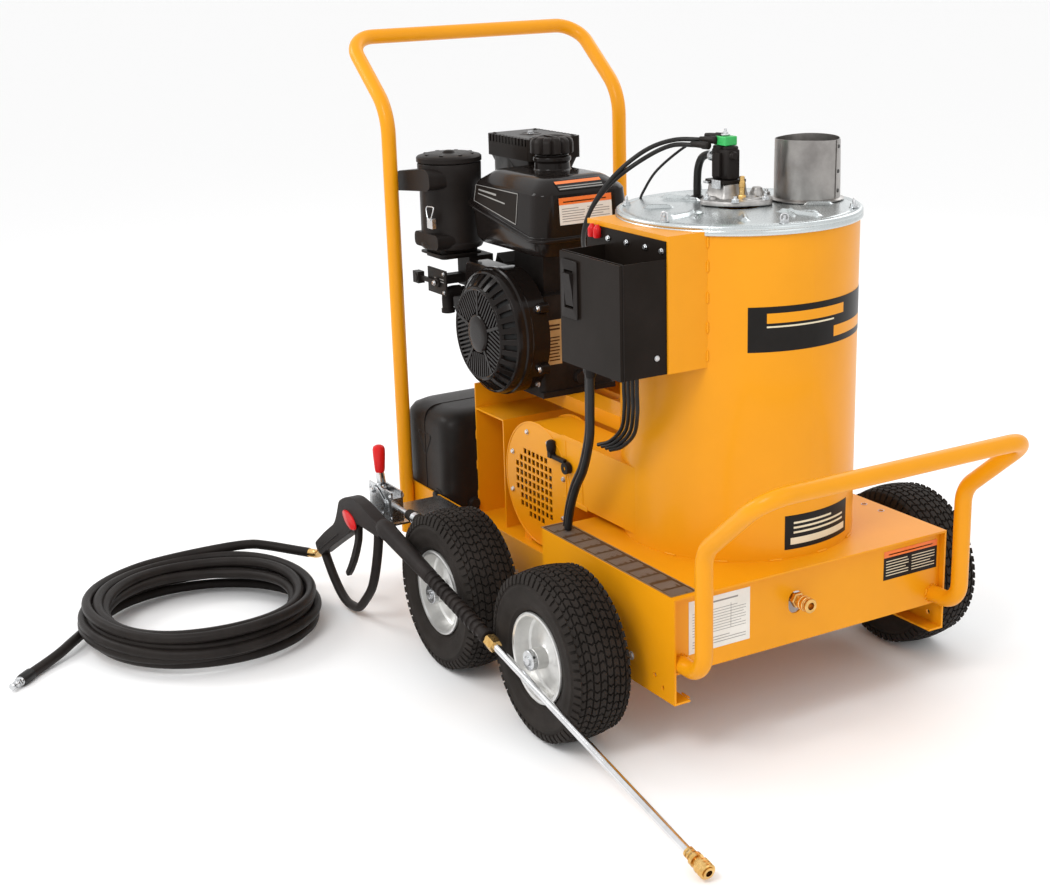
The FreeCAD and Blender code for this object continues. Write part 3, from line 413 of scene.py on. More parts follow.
def piece(name, bm, material, slot, body="cart", bevel=0.0, sharp=35, replaces=()):
    """Finish a mesh drawn in millimetres into a piece that rides on a body."""
    bmesh.ops.recalc_face_normals(bm, faces=bm.faces)
    bmesh.ops.transform(bm, matrix=TO_FRAME, verts=bm.verts)
    mesh = bpy.data.meshes.new(name)
    bm.to_mesh(mesh)
    bm.free()
    obj = bpy.data.objects.new(name, mesh)
    bpy.context.scene.collection.objects.link(obj)
    for one in material if isinstance(material, (list, tuple)) else [material]:
        mesh.materials.append(one)
    if bevel:
        edges = obj.modifiers.new("edges", "BEVEL")
        edges.width = bevel / 1000
        edges.segments = 2
        edges.limit_method = "ANGLE"
        edges.angle_limit = math.radians(35)
    mesh.set_sharp_from_angle(angle=math.radians(sharp))
    mesh.polygons.foreach_set("use_smooth", [True] * len(mesh.polygons))
    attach(obj, body)
    if replaces:
        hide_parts(*replaces)
    return obj


def turned(name, centre, axis, profile, segments, material, slot, body="cart", closed=False, **finish):
    """A piece that is one turned shape."""
    bm = bmesh.new()
    add_turned(bm, centre, axis, profile, segments, closed)
    return piece(name, bm, material, slot, body, **finish)


def label(name, place, size, paper, prints, slot, body="cart", columns=1):
    """A sticker: place(u, v, lift) gives its points, and prints are (ink, u0, u1, v0, v1) bars on it."""
    bm = bmesh.new()
    inks = [paper]
    patches = [(paper, 0, size[0], 0, size[1])] + list(prints)
    for rank, (ink, u0, u1, v0, v1) in enumerate(patches):
        if ink not in inks:
            inks.append(ink)
        lift = 0.35 if rank == 0 else 0.5
        steps = max(1, round(columns * (u1 - u0) / size[0]))
        us = [u0 + (u1 - u0) * k / steps for k in range(steps + 1)]
        rows = [[bm.verts.new(place(u, v, lift)) for u in us] for v in (v0, v1)]
        for k in range(steps):
            face = bm.faces.new((rows[0][k], rows[0][k + 1], rows[1][k + 1], rows[1][k]))
            face.material_index = inks.index(ink)
    return piece(name, bm, inks, slot, body)


def paint(material, *names):
    """Give CAD nodes a finish."""
    for name in names:
        mesh = NODES[name].data
        mesh.materials.clear()
        mesh.materials.append(material)


studio()

# ---------------------------------------------------------------- hose

HOSE_R = 0.011
LEAD = ((-0.585, -0.510, 0.084), (-0.625, -0.540, 0.086), (-0.658, -0.581, 0.094), (-0.681, -0.628, 0.103))
TAIL = ((-0.520, -1.085, 0.026), (-0.492, -1.120, 0.018), (-0.462, -1.162, 0.013), (-0.432, -1.200, 0.012),
        (-0.408, -1.226, 0.012))
COIL_CENTRE = Vector((-0.478, -0.812, 0))
TURN_POINTS = 16
TURNS = ((0.262, 0.081), (0.240, 0.080), (0.218, 0.078), (0.207, 0.057), (0.229, 0.058), (0.251, 0.060),
         (0.267, 0.041), (0.246, 0.036), (0.250, 0.0125), (0.269, 0.022))


def coil_points():
    """The turns of the coil, anticlockwise from the lead to the tail, each a little off round."""
    start = LEAD[-1]
    first = math.atan2(start[1] - COIL_CENTRE.y, start[0] - COIL_CENTRE.x)
    last = math.atan2(TAIL[0][1] - COIL_CENTRE.y, TAIL[0][0] - COIL_CENTRE.x)
    sweep = (last - first) % (2 * math.pi) + 2 * math.pi * (len(TURNS) - 2)
    count = int(sweep / (2 * math.pi) * TURN_POINTS)
    points = []
    for k in range(2, count - 1):
        angle = first + sweep * k / count
        turn = sweep * k / count / (2 * math.pi)
        whole = int(turn)
        part = turn - whole
        part = part * part * (3 - 2 * part)
        (r0, z0), (r1, z1) = TURNS[whole], TURNS[whole + 1]
        slack = 0.007 * math.sin(angle + 0.7 * turn) + 0.003 * math.sin(2 * angle + 1.3 * turn)
        radius = r0 + (r1 - r0) * part - 0.004 + slack
        height = z0 + (z1 - z0) * part
        height += min(0.004, height * 0.05) * (1 + math.sin(3 * angle + 1.1 * turn))
        points.append(COIL_CENTRE + around(radius, angle, height))
    return points


def hose():
    """The coiled hose as one cord, with the ferrule and plug on its free end."""
    route = [Vector(p) for p in LEAD] + coil_points() + [Vector(p) for p in TAIL]
    ground = Vector((SHIFT.x, SHIFT.y, 0))
    curve = bpy.data.curves.new("high_pressure_hose", "CURVE")
    curve.dimensions = "3D"
    spline = curve.splines.new("NURBS")
    spline.points.add(len(route) - 1)
    for point, place in zip(spline.points, route):
        point.co = (*(place + ground), 1)
    spline.order_u = 3
    spline.use_endpoint_u = True
    spline.resolution_u = 6
    curve.bevel_depth = HOSE_R
    curve.bevel_resolution = 6
    curve.use_fill_caps = True
    curve.materials.append(HOSE)
    obj = bpy.data.objects.new("high_pressure_hose", curve)
    bpy.context.scene.collection.objects.link(obj)
    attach(obj, "cart")
    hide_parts("hose_lead", "hose_coil", "hose_tail")
    last = Vector(TAIL[-1]) * 1000
    ahead = (last - Vector(TAIL[-2]) * 1000).normalized()
    sleeve = [(0, 11.4), (2, 13), (30, 13), (36, 12), (38, 9.4)]
    ferrule = turned("hose_ferrule", last - ahead * 34, ahead, sleeve, 32, WIRE, "black_rubber")
    bm = bmesh.new()
    add_turned(bm, last + ahead * 2, ahead, [(0, 9), (1, 10.3), (7, 10.3), (8, 9)], 32)
    add_hexagon(bm, last + ahead * 9, ahead, 10.4, 6)
    plug = [(0, 6), (2, 7.6), (6, 7.6), (8, 6), (13, 6), (15, 7.4), (19, 7.4), (20.8, 5.6)]
    add_turned(bm, last + ahead * 15, ahead, plug, 32)
    nipple = piece("hose_nipple", bm, PLATED, "chrome_tube", replaces=["hose_end"])


hose()

# ---------------------------------------------------------------- wheels

AXLES = {"front": 384, "rear": -10}
WHEEL_R, WHEEL_Y = 165.0, 417.0
TREAD_BLOCKS = 58


def crown(y):
    """The tread's radius at a distance from the tyre's middle."""
    return WHEEL_R - 0.0026 * y * y - max(0, abs(y) - 44) * 0.35


def tyre_mesh():
    """A turf tyre: carcass, eight rows of blocks and the shoulder lugs."""
    bm = bmesh.new()
    sidewall = [(40, 83), (44, 85), (49, 92), (51, 95), (53.5, 97), (54.5, 103), (56, 106), (58.5, 113),
                (59.4, 122), (58.8, 131), (59.6, 133), (59.2, 136), (57.6, 138), (56, 143), (53, 149),
                (49, 153)]
    crest = [(y, crown(y) - 4.5) for y in (44, 30, 15, 0)]
    half = sidewall + crest
    add_turned(bm, (0, 0, 0), Y, half + [(-y, r) for y, r in reversed(half[:-1])], 96, closed=True)
    columns = [(-51, -42), (-40, -29), (-27, -15), (-13, -1), (1, 13), (15, 27), (29, 40), (42, 51)]
    pitch = 2 * math.pi / TREAD_BLOCKS
    for c, (y0, y1) in enumerate(columns):
        lean = pitch * 0.12 * (1 if c % 2 else -1)
        half_arc = pitch * 0.41
        for k in range(TREAD_BLOCKS):
            middle = pitch * (k + 0.22 * math.sin(c * 1.9))
            add_block(bm, [(y, middle + shift - half_arc, middle + shift + half_arc)
                           for y, shift in ((y0, -lean), ((y0 + y1) / 2, lean), (y1, -lean))])
    for side in (-1, 1):
        for k in range(TREAD_BLOCKS):
            add_lug(bm, side, pitch * (k + 0.17), pitch * (k + 0.83))
    bmesh.ops.recalc_face_normals(bm, faces=bm.faces)
    return bm


def wheel_point(y, radius, angle):
    """A point about the wheel's own axle."""
    return Vector((radius * math.cos(angle), y, radius * math.sin(angle)))


def add_block(bm, rings):
    """One tread block, kinked in the middle and narrower at its top."""
    base = [[wheel_point(y, crown(y) - 6, a), wheel_point(y, crown(y) - 6, b)] for y, a, b in rings]
    top = []
    middle_y = rings[1][0]
    for y, a, b in rings:
        tip = y + (0.8 if y < middle_y else -0.8 if y > middle_y else 0)
        top.append([wheel_point(tip, crown(y), a + 0.004), wheel_point(tip, crown(y), b - 0.004)])
    low = [bm.verts.new(p) for p in [r[0] for r in base] + [r[1] for r in reversed(base)]]
    high = [bm.verts.new(p) for p in [r[0] for r in top] + [r[1] for r in reversed(top)]]
    count = len(low)
    for i in range(count):
        bm.faces.new((low[i], low[(i + 1) % count], high[(i + 1) % count], high[i]))
    bm.faces.new((high[0], high[1], high[4], high[5]))
    bm.faces.new((high[1], high[2], high[3], high[4]))


def add_lug(bm, side, a, b):
    """A shoulder lug that runs from the tread down the sidewall."""
    outer = [(52.5, 159.2), (56.5, 151), (58.8, 143.5)]
    inner = [(46, 154), (52, 147), (56, 141)]
    rings = []
    for (y0, r0), (y1, r1) in zip(outer, inner):
        rings.append([wheel_point(side * y0, r0, a), wheel_point(side * y0, r0, b),
                      wheel_point(side * y1, r1, b), wheel_point(side * y1, r1, a)])
    add_loft(bm, rings)


def rim_mesh():
    """A pressed rim: rolled lip, barrel, dish and hub sleeve."""
    bm = bmesh.new()
    profile = [(52, 80), (53, 84), (52, 87), (49, 88), (47, 85), (46, 82.5), (-46, 82.5), (-52, 88),
               (-53, 84), (-50, 80), (-46, 78), (9, 77), (12, 74), (14, 66), (18, 50), (25, 30), (29, 23),
               (29, 20), (-48, 20), (-48, 9.6), (58, 9.6), (58, 19), (57, 20), (36, 20.5), (33, 23),
               (29, 31), (22, 51), (18, 67), (18.5, 73), (22, 77), (48, 78.5)]
    add_turned(bm, (0, 0, 0), -Y, profile, 96, closed=True)
    return bm


def wheels():
    """Four wheels, the left ones turned round so that their dishes face out."""
    kinds = (("tyre", tyre_mesh(), RUBBER, "tyre_rubber"), ("rim", rim_mesh(), RIM, "rim_paint"))
    for place, x in AXLES.items():
        for name, side in (("right", -1), ("left", 1)):
            where = Matrix.Translation((x, side * WHEEL_Y, WHEEL_R))
            where = where @ Matrix.Rotation(0 if side < 0 else math.pi, 4, "Z")
            for kind, source, finish, slot in kinds:
                bm = source.copy()
                bmesh.ops.transform(bm, matrix=where, verts=bm.verts)
                piece(f"{kind}_{place}_{name}_look", bm, finish, slot, f"wheel_{place}_{name}",
                      sharp=30, replaces=[f"{kind}_{place}_{name}"])


wheels()

# ---------------------------------------------------------------- chassis and its labels

DECK_Z, PANEL_X, SIDE_Y = 322, 600, -318


def text_rows(ink, u0, u1, v0, v1, rows, fill=0.45):
    """Plain bars in place of lines of print, of uneven length."""
    pitch = (v1 - v0) / rows
    bars = []
    for k in range(rows):
        end = u0 + (u1 - u0) * (1 - 0.35 * random.random() * (k % 3 == 2))
        bars.append((ink, u0, end, v0 + pitch * k, v0 + pitch * (k + fill)))
    return bars


def frame_bars(ink, u0, u1, v0, v1, line=0.8):
    """Four bars that outline a rectangle."""
    return [(ink, u0, u1, v0, v0 + line), (ink, u0, u1, v1 - line, v1), (ink, u0, u0 + line, v0, v1),
            (ink, u1 - line, u1, v0, v1)]


def on_shell(angle, height):
    """Places a sticker on the shell; u runs along its girth from an angle in degrees."""
    first = math.radians(angle)

    def place(u, v, lift):
        return SHELL + around(SHELL_R + lift, first + u / SHELL_R, height + v)
    return place


def labels():
    """Stickers with plain bars in place of print."""
    rows = []
    for u0 in range(6, 440, 74):
        rows += text_rows(INK_GREY, u0 + 4, u0 + 34, 8, 50, 10, 0.38)
        rows += text_rows(INK_GREY, u0 + 40, u0 + 68, 6, 52, 12, 0.34)
        rows += [(LABEL_BLACK, u0 + 36, u0 + 37.2, 3, 55)]
    rows += frame_bars(INK_CREAM, 1.5, 446.5, 1.5, 56.5, 0.7)
    label("ledge_label", lambda u, v, h: Vector((150 + u, -315 + v, DECK_Z + h)), (448, 58), LABEL_BROWN,
          rows, "yellow_paint")

    rows = text_rows(INK_GREY, 42, 108, 88, 95, 1) + text_rows(INK_GREY, 8, 126, 10, 26, 3, 0.25)
    rows += text_rows(INK_GREY, 8, 126, 32, 80, 9, 0.2)
    rows += [(INK_GREY, 42, 43, 32, 80), (INK_GREY, 92, 93, 32, 80)]
    label("data_plate", lambda u, v, h: Vector((PANEL_X + h, -279 + u, 205 + v)), (135, 101), LABEL_WHITE,
          rows, "yellow_paint")

    rows = [(INK_ORANGE, 0, 134, 45, 58)] + text_rows(LABEL_BLACK, 12, 122, 49, 54, 1)
    rows += text_rows(INK_CREAM, 6, 62, 8, 42, 6, 0.3) + text_rows(INK_CREAM, 70, 128, 8, 42, 6, 0.3)
    label("panel_label", lambda u, v, h: Vector((PANEL_X + h, 172 + u, 246 + v)), (134, 58), LABEL_BLACK,
          rows, "yellow_paint")

    band = [(YELLOW, 34, 208, 52, 70), (INK_CREAM, 34, 178, 44, 47), (YELLOW, 178, 300, 12, 32)]
    label("shell_band", on_shell(-32.5, 718), (318, 82), LABEL_BLACK, band, "yellow_paint", columns=48)
    rows = text_rows(INK_CREAM, 18, 150, 30, 58, 3, 0.42) + [(INK_CREAM, 12, 158, 9, 22)]
    label("shell_notice", on_shell(-13.7, 340), (168, 66), LABEL_BLACK, rows, "yellow_paint", columns=24)


def add_weld(bm, start, end, radius=2.6):
    """A bead of overlapping ripples."""
    start, end = Vector(start), Vector(end)
    axis = end - start
    count = max(3, int(axis.length / 3.2))
    profile = []
    for k in range(count * 3 + 1):
        t = k / (count * 3)
        swell = 0.82 + 0.18 * abs(math.sin(math.pi * count * t))
        taper = min(1, 6 * t + 0.25, 6 * (1 - t) + 0.25)
        profile.append((axis.length * t, radius * swell * taper))
    add_turned(bm, start, axis, profile, 10)


def welds():
    """Beads on the shell, its foot, the deck flanges, the handle sockets and the tray."""
    bm = bmesh.new()
    flange_x = 485
    seam_y = SHELL.y - math.sqrt(SHELL_R**2 - (flange_x - SHELL.x) ** 2) - 0.5
    for z in (700, 752, 806, 862, 905):
        add_weld(bm, (flange_x + 0.3, seam_y, z), (flange_x + 0.3, seam_y, z + 22), 3.0)
    for degrees in range(-70, 91, 26):
        out = around(1, math.radians(degrees))
        along = Z.cross(out) * 13
        foot = SHELL + out * (SHELL_R + 1) + Z * (DECK_Z + 1)
        add_weld(bm, foot - along, foot + along)
    for side in (-1, 1):
        for x in (200, 330, 470, 580):
            add_weld(bm, (x, side * 281, 124.5), (x + 26, side * 281, 124.5), 2.2)
        add_weld(bm, (598, side * 312, 235), (598, side * 312, 262), 2.4)
        add_weld(bm, (601, side * 281, 194), (601, side * 283, 206), 2.6)
        for turn in turns(15):
            spot = Vector((601, side * 298 + 17 * math.cos(turn), 194 + 17 * math.sin(turn)))
            if abs(spot.y) < 314:
                add_weld(bm, spot, spot + Vector((0, -3.4 * math.sin(turn), 3.4 * math.cos(turn))), 2.2)
    for y in (-205, 205):
        for z in (230, 300, 370):
            add_weld(bm, (-311, y, z), (-311, y, z + 24), 2.2)
    piece("weld_beads", bm, YELLOW, "yellow_paint")


def screw(bm, place, axis, radius=6.0):
    """A flanged hexagon screw."""
    place = Vector(place)
    add_rod(bm, place, axis, radius * 1.25, 1.4, 24, 0.4)
    add_hexagon(bm, place + axis * 1.2, axis, radius, radius * 0.7)


def bolts(name, *spots):
    """A piece of plated screws, each given as (place, axis, radius)."""
    bm = bmesh.new()
    for place, axis, radius in spots:
        screw(bm, place, axis, radius)
    piece(name, bm, PLATED, "bright_steel")


def chassis_details():
    """Screws, bushed deck holes, and the collars and pins on the axle ends."""
    bm = bmesh.new()
    screw(bm, (475, SIDE_Y, 168), -Y, 7)
    for x in (-300, -240):
        screw(bm, (x, -282, 165), -Y, 7)
    for x in (405, 455):
        add_turned(bm, (x, 292, DECK_Z), Z, [(0, 5.2), (0.6, 6.4), (0.9, 6.0), (0.9, 5.2)], 24, closed=True)
    for side in (-1, 1):
        for z in (150, 210):
            add_rod(bm, (-488, side * 279, z), Y * side, 4.5, 3, 16)
    piece("chassis_screws", bm, PLATED, "bright_steel")

    collars, pins = bmesh.new(), bmesh.new()
    collar = [(0, 13), (0.5, 19.6), (8.5, 19.6), (9.6, 18.4), (9.6, 9.6), (0, 9.6)]
    aim = Vector((0.80, 0, 0.6))
    for x in AXLES.values():
        for side in (-1, 1):
            add_turned(collars, (x, side * 476, WHEEL_R), Y * side, collar, 40, closed=True)
            add_rod(collars, (x, side * 484, WHEEL_R), Y * side, 9.4, 5.5, 32, 1.6)
            add_rod(pins, Vector((x, side * 481, WHEEL_R)) + aim * 17.5, aim, 3.0, 2.4, 16)
    piece("axle_collars", collars, PLATED, "bright_steel")
    # The set screws take the matte near-black of their own finish.
    piece("collar_screws", pins, BLACK_AND_SHADE, "bright_steel")


labels()
welds()
chassis_details()

# ---------------------------------------------------------------- heater: lid, flue and burner

LID_TOP = 946
BURNER = Vector((312, 38, LID_TOP))
FLUE = Vector((360, 166, LID_TOP))
VALVE = Vector((294, 24, 0))


def stamped(x, y):
    """Height of the lid's pressed ribs at a point: eight spokes, four of them with a pair of branches."""
    dx, dy = x - SHELL.x, y - SHELL.y
    r = math.hypot(dx, dy)
    turn = math.degrees(math.atan2(dy, dx)) % 360
    height = 0
    for k in range(8):
        off = (turn - 45 * k - 12 + 180) % 360 - 180
        across = abs(r * math.sin(math.radians(off)))
        inner, outer = ((96, 196), (118, 178))[k % 2]
        if abs(off) < 90:
            height += 6.5 * max(0, 1 - (across / 8) ** 2) * faded(r, inner, inner + 12, outer - 12, outer)
        if k % 2 == 0:
            for lean in (-1, 1):
                across = abs(math.radians(off) * r - lean * (r - 120) * 0.75)
                height += 4.5 * max(0, 1 - (across / 6) ** 2) * faded(r, 120, 128, 158, 168)
    return height - 1.6 * max(0, 1 - abs(r - 214) / 4)


def faded(r, rise, full, fall, gone):
    """One from full to fall, with smooth edges that start at rise and end at gone."""
    return smooth_step(rise, full, r) * (1 - smooth_step(fall, gone, r))


def smooth_step(a, b, t):
    t = max(0.0, min(1.0, (t - a) / (b - a)))
    return t * t * (3 - 2 * t)


def lid():
    """The shell's pressed lid, with its two openings and rolled rim."""
    bm = bmesh.new()
    radii = [40 + 3.1 * k for k in range(58)] + [221, 224, 226.5, 228.3, 229]
    drops = [0] * 58 + [0, 0.2, 1, 2.6, 5]
    holes = ((BURNER, 54), (FLUE, 59))
    grid = []
    for radius, drop in zip(radii, drops):
        row = []
        for turn in turns(240):
            spot = SHELL + around(radius, turn)
            for hole, size in holes:
                away = (spot - hole).to_2d()
                if abs(away.length - size) < 2.6:
                    spot = hole + (away.normalized() * size).to_3d()
            pressed = stamped(spot.x, spot.y) - 1.0 if radius < 221 else -1.0 * (radius < SHELL_R)
            row.append(bm.verts.new((spot.x, spot.y, LID_TOP - drop + pressed)))
        grid.append(row)
    for z, radius in ((-8, 229), (-9.2, 228.2), (-10.4, 229.2), (-17, 229.4), (-18.4, 228.6), (-18.4, 226)):
        grid.append([bm.verts.new(SHELL + around(radius, turn, LID_TOP + z)) for turn in turns(240)])
    for a, b in zip(grid, grid[1:]):
        for k in range(len(a)):
            corners = (a[k - 1], a[k], b[k], b[k - 1])
            middle = sum((v.co for v in corners), Vector()) / 4
            if all((middle - hole).to_2d().length > size for hole, size in holes):
                bm.faces.new(corners)
    bmesh.ops.delete(bm, geom=[v for v in bm.verts if not v.link_faces], context="VERTS")
    obj = piece("stamped_lid", bm, ZINC, "galvanised", sharp=50, replaces=["shell_lid"])
    obj.modifiers.new("sheet", "SOLIDIFY").thickness = 0.0012


def lid_clips():
    """Nuts, washers and the wire loops that hold the lid's rim."""
    bm = bmesh.new()
    wires = bmesh.new()
    for degrees in (-135, -75, -15, 45, 105, 165):
        out = around(1, math.radians(degrees))
        place = SHELL + out * 212 + Z * (LID_TOP - 1)
        add_rod(bm, place, Z, 9, 1.4, 24, 0.4)
        add_hexagon(bm, place + Z * 1.2, Z, 7.4, 6)
        add_rod(bm, place + Z * 6, Z, 3.2, 8, 14, 0.5)
        for side in (out.cross(Z), Z.cross(out)):
            foot = place + side * 7
            add_tube(wires, [foot + Z, foot + Z * 11, place + side * 4.5 + Z * 15.5, place + Z * 17], 1.5,
                     8, 5)
    piece("lid_bolts", bm, PLATED, "bright_steel", replaces=["fasteners"])
    piece("lid_clip_wires", wires, STEEL, "bright_steel")


def flue():
    """A stack of thin sheet, a little out of round at its top, with a riveted lap seam."""
    bm = bmesh.new()
    levels, wall = [k / 14 for k in range(15)], 1.2
    seam = math.radians(18)

    def ring(t, inset):
        made = []
        for turn in turns(96):
            give = 2.2 * t * t * math.cos(2 * turn + 0.7) + 0.8 * t * math.sin(5 * turn + 1)
            top = 116 - 1.25 * (1 + math.sin(turn * 2 + 0.4))
            made.append(FLUE + around(62 - inset + give * 0.9, turn, top * t))
        return made
    add_loft(bm, [ring(t, 0) for t in levels] + [ring(t, wall) for t in reversed(levels)], closed=True)
    strip = []
    for t in levels:
        strip.append([])
        for offset, steps in ((0.3, range(9)), (1.5, range(8, -1, -1))):
            for k in steps:
                turn = seam + math.radians(22) * k / 8
                give = 2.0 * t * t * math.cos(2 * turn + 0.7) + 0.7 * t * math.sin(5 * turn + 1)
                strip[-1].append(FLUE + around(62 + offset + give, turn, 2 + 111 * t))
    add_loft(bm, strip)
    flange = [(0, 62), (0, 70), (1.4, 70), (2.2, 66), (4.5, 63), (4.5, 61), (0, 61)]
    add_turned(bm, FLUE + Z, Z, flange, 96, closed=True)
    piece("flue_stack", bm, DULL, "galvanised", sharp=50, replaces=["flue_collar"])
    bm = bmesh.new()
    out = around(1, seam + math.radians(7))
    for height in (19, 55, 101):
        add_turned(bm, FLUE + out * 62.8 + Z * height, out, [(0, 4), (1.6, 3.6), (2.4, 2.2), (2.7, 0.6)], 16)
    piece("flue_rivets", bm, PIPE, "galvanised")


def burner():
    """The head casting with its solenoids, plugs, fitting, leads and fuel hose."""
    x, y = VALVE.x, VALVE.y
    head = bmesh.new()
    lobes = [around(66 + 7 * max(0, math.cos(3 * (turn - math.radians(20)))) ** 2, turn)
             for turn in turns(72)]
    add_loft(head, [[BURNER + p * s + Z * h for p in lobes] for s, h in
                    ((0.98, 0.5), (1, 2), (1, 8), (0.985, 9.6), (0.95, 10.4), (0.62, 11.2))])
    casting = round_corners(rectangle(-34, 26, -32, 26), 12)
    add_scaled(head, casting, (x + 6, y + 6), [(1.16, LID_TOP + 9), (1.06, LID_TOP + 14),
                                               (0.98, LID_TOP + 22), (0.94, LID_TOP + 34),
                                               (0.92, LID_TOP + 36), (0.88, LID_TOP + 37)])
    port = BURNER + Vector((34, 10, 9))
    add_turned(head, port, Z, [(0, 22), (4, 20), (5, 17), (5, 13), (1, 12)], 32)
    add_turned(head, BURNER + Vector((-6, -52, 10)), Z, [(0, 8), (4, 7.5), (5.5, 6), (5.5, 2)], 24)
    add_turned(head, BURNER + Vector((4, 44, 9)), Z, [(0, 15), (9, 13), (11, 11), (16, 9), (17, 7)], 24)
    for turn in turns(7):
        add_turned(head, port + around(18, turn, 3), Z, [(0, 2.6), (2, 2.3), (2.6, 1.2)], 12)
    piece("burner_casting", head, ALUMINIUM, "cast_metal", bevel=0.6, replaces=["burner_head"])

    nuts = bmesh.new()
    for k in range(6):
        place = BURNER + around(62, math.radians(60 * k + 20), 9)
        add_rod(nuts, place, Z, 8.6, 1.6, 24, 0.4)
        add_hexagon(nuts, place + Z * 1.5, Z, 7.6, 6)
        add_rod(nuts, place + Z * 7, Z, 3.6, 5, 14, 0.8)
    add_rod(nuts, (x, y, 1071), Z, 9, 3, 24, 0.6)
    add_hexagon(nuts, (x, y, 1074), Z, 5.6, 4)
    add_rod(nuts, (x, y, 1077), Z, 2.6, 7, 12, 0.6)
    union = [(0, 9), (2, 9), (3, 7.8), (9, 7.8), (10, 9.6), (16, 9.6), (17, 8)]
    add_turned(nuts, (x - 24, y - 4, 1030), -X, union, 24)
    add_box(nuts, (x - 24, x - 8), (y - 34, y + 20), (983, 987))
    add_box(nuts, (x + 2, x + 26), (y - 33, y - 30), (976, 992))
    piece("burner_nuts", nuts, PLATED, "bright_steel", bevel=0.4)

    valve = bmesh.new()
    add_scaled(valve, round_corners(rectangle(-33, 27, -31, 27), 9), (x + 4, y + 2), [(1, 984), (1, 990)])
    coil = [(0, 13.5), (2, 15), (46, 15), (47, 13.5), (52, 13.5), (54, 14.5), (60, 14.5), (62, 13)]
    for place in ((x - 12, y - 2, 990), (x + 13, y + 2, 990)):
        add_turned(valve, place, Z, coil, 40)
    add_scaled(valve, round_corners(rectangle(-26, 28, -14, 14), 5), (x, y),
               [(0.96, 992), (1, 993), (1, 1044), (0.95, 1046)])
    add_turned(valve, (x + 27, y - 4, 1036), X, [(0, 8), (6, 8), (7, 6.4), (9, 6.4)], 20)
    add_box(valve, (x - 6, x + 8), (y - 20, y - 14), (996, 1040))
    piece("burner_solenoids", valve, PLASTIC, "black_plastic", bevel=0.9, replaces=["burner_valve"])

    plug = bmesh.new()
    add_box(plug, (x - 20, x + 18), (y - 13, y + 14), (1053, 1070))
    add_box(plug, (x - 30, x - 18), (y - 9, y + 9), (1058, 1067))
    piece("green_connector", plug, GREEN, "black_plastic", bevel=1.6)

    brass = bmesh.new()
    foot = BURNER + Vector((26, -8, 10))
    add_hexagon(brass, foot, Z, 8, 8)
    nozzle = [(0, 5.5), (14, 5.5), (15, 6.5), (24, 6.5), (26, 5), (34, 5), (35, 4)]
    add_turned(brass, foot + Z * 8, Z, nozzle, 24)
    piece("burner_fitting", brass, BRASS, "brass_fitting")

    boots = bmesh.new()
    way = Vector((-1, -0.25, 0.0))
    boot = [(0, 5), (2, 7.4), (16, 7.4), (18, 6), (30, 5.6), (42, 4.6)]
    for place in ((x - 30, y - 18, 1062), (x - 38, y - 30, 1052), (x - 26, y - 8, 1068)):
        add_turned(boots, Vector(place) - way * 22, way, boot, 20)
    piece("lead_boots", boots, PLASTIC, "black_rubber")

    leads = bmesh.new()
    for k, end in enumerate(((x - 46, y - 14, 1060), (x - 54, y - 26, 1050))):
        add_tube(leads, [end, (x - 96, y - 52 - 4 * k, 1058 - 10 * k), (x - 150, y - 84, 1034 - 14 * k),
                         (x - 176, y - 140, 985 - 8 * k), (x - 170, y - 196, 925), (x - 122, y - 240, 872),
                         (x - 60 + 12 * k, y - 246, 850)], 4.4, 14)
    add_tube(leads, [(x - 44, y - 4, 1066), (x - 84, y - 30, 1046), (x - 128, y - 66, 1000),
                     (x - 150, y - 84, 958), (x - 154, y - 92, 936)], 2.6, 14)
    piece("burner_leads_look", leads, WIRE, "black_rubber", replaces=["burner_leads"])

    tube = bmesh.new()
    add_tube(tube, [(x - 34, y - 4, 1030), (x - 50, y - 4, 1031), (x - 70, y - 4, 1022),
                    (x - 81, y - 4, 1002), (x - 84, y - 4, 975), (x - 84, y - 4, 948)], 7.6, 20)
    add_turned(tube, (x - 84, y - 4, 946), Z, [(0, 12), (3, 12), (4, 9)], 24)
    piece("burner_hose_look", tube, WIRE, "black_rubber", replaces=["burner_fuel_hose"])


lid()
lid_clips()
flue()
burner()

# ---------------------------------------------------------------- engine

CRANK = Vector((-205, 0, 637))
TANK_X, TANK_Y = (-334, -26), (-195, 35)
CAP = Vector((-190, -65, 0))
FILTER = Vector((-408, -195, 0))


def boss(degrees):
    """Centre of one of the shroud's four mounting bosses, in the crankshaft's plane."""
    turn = math.radians(degrees)
    return CRANK + Vector((math.cos(turn), 0, math.sin(turn))) * 138


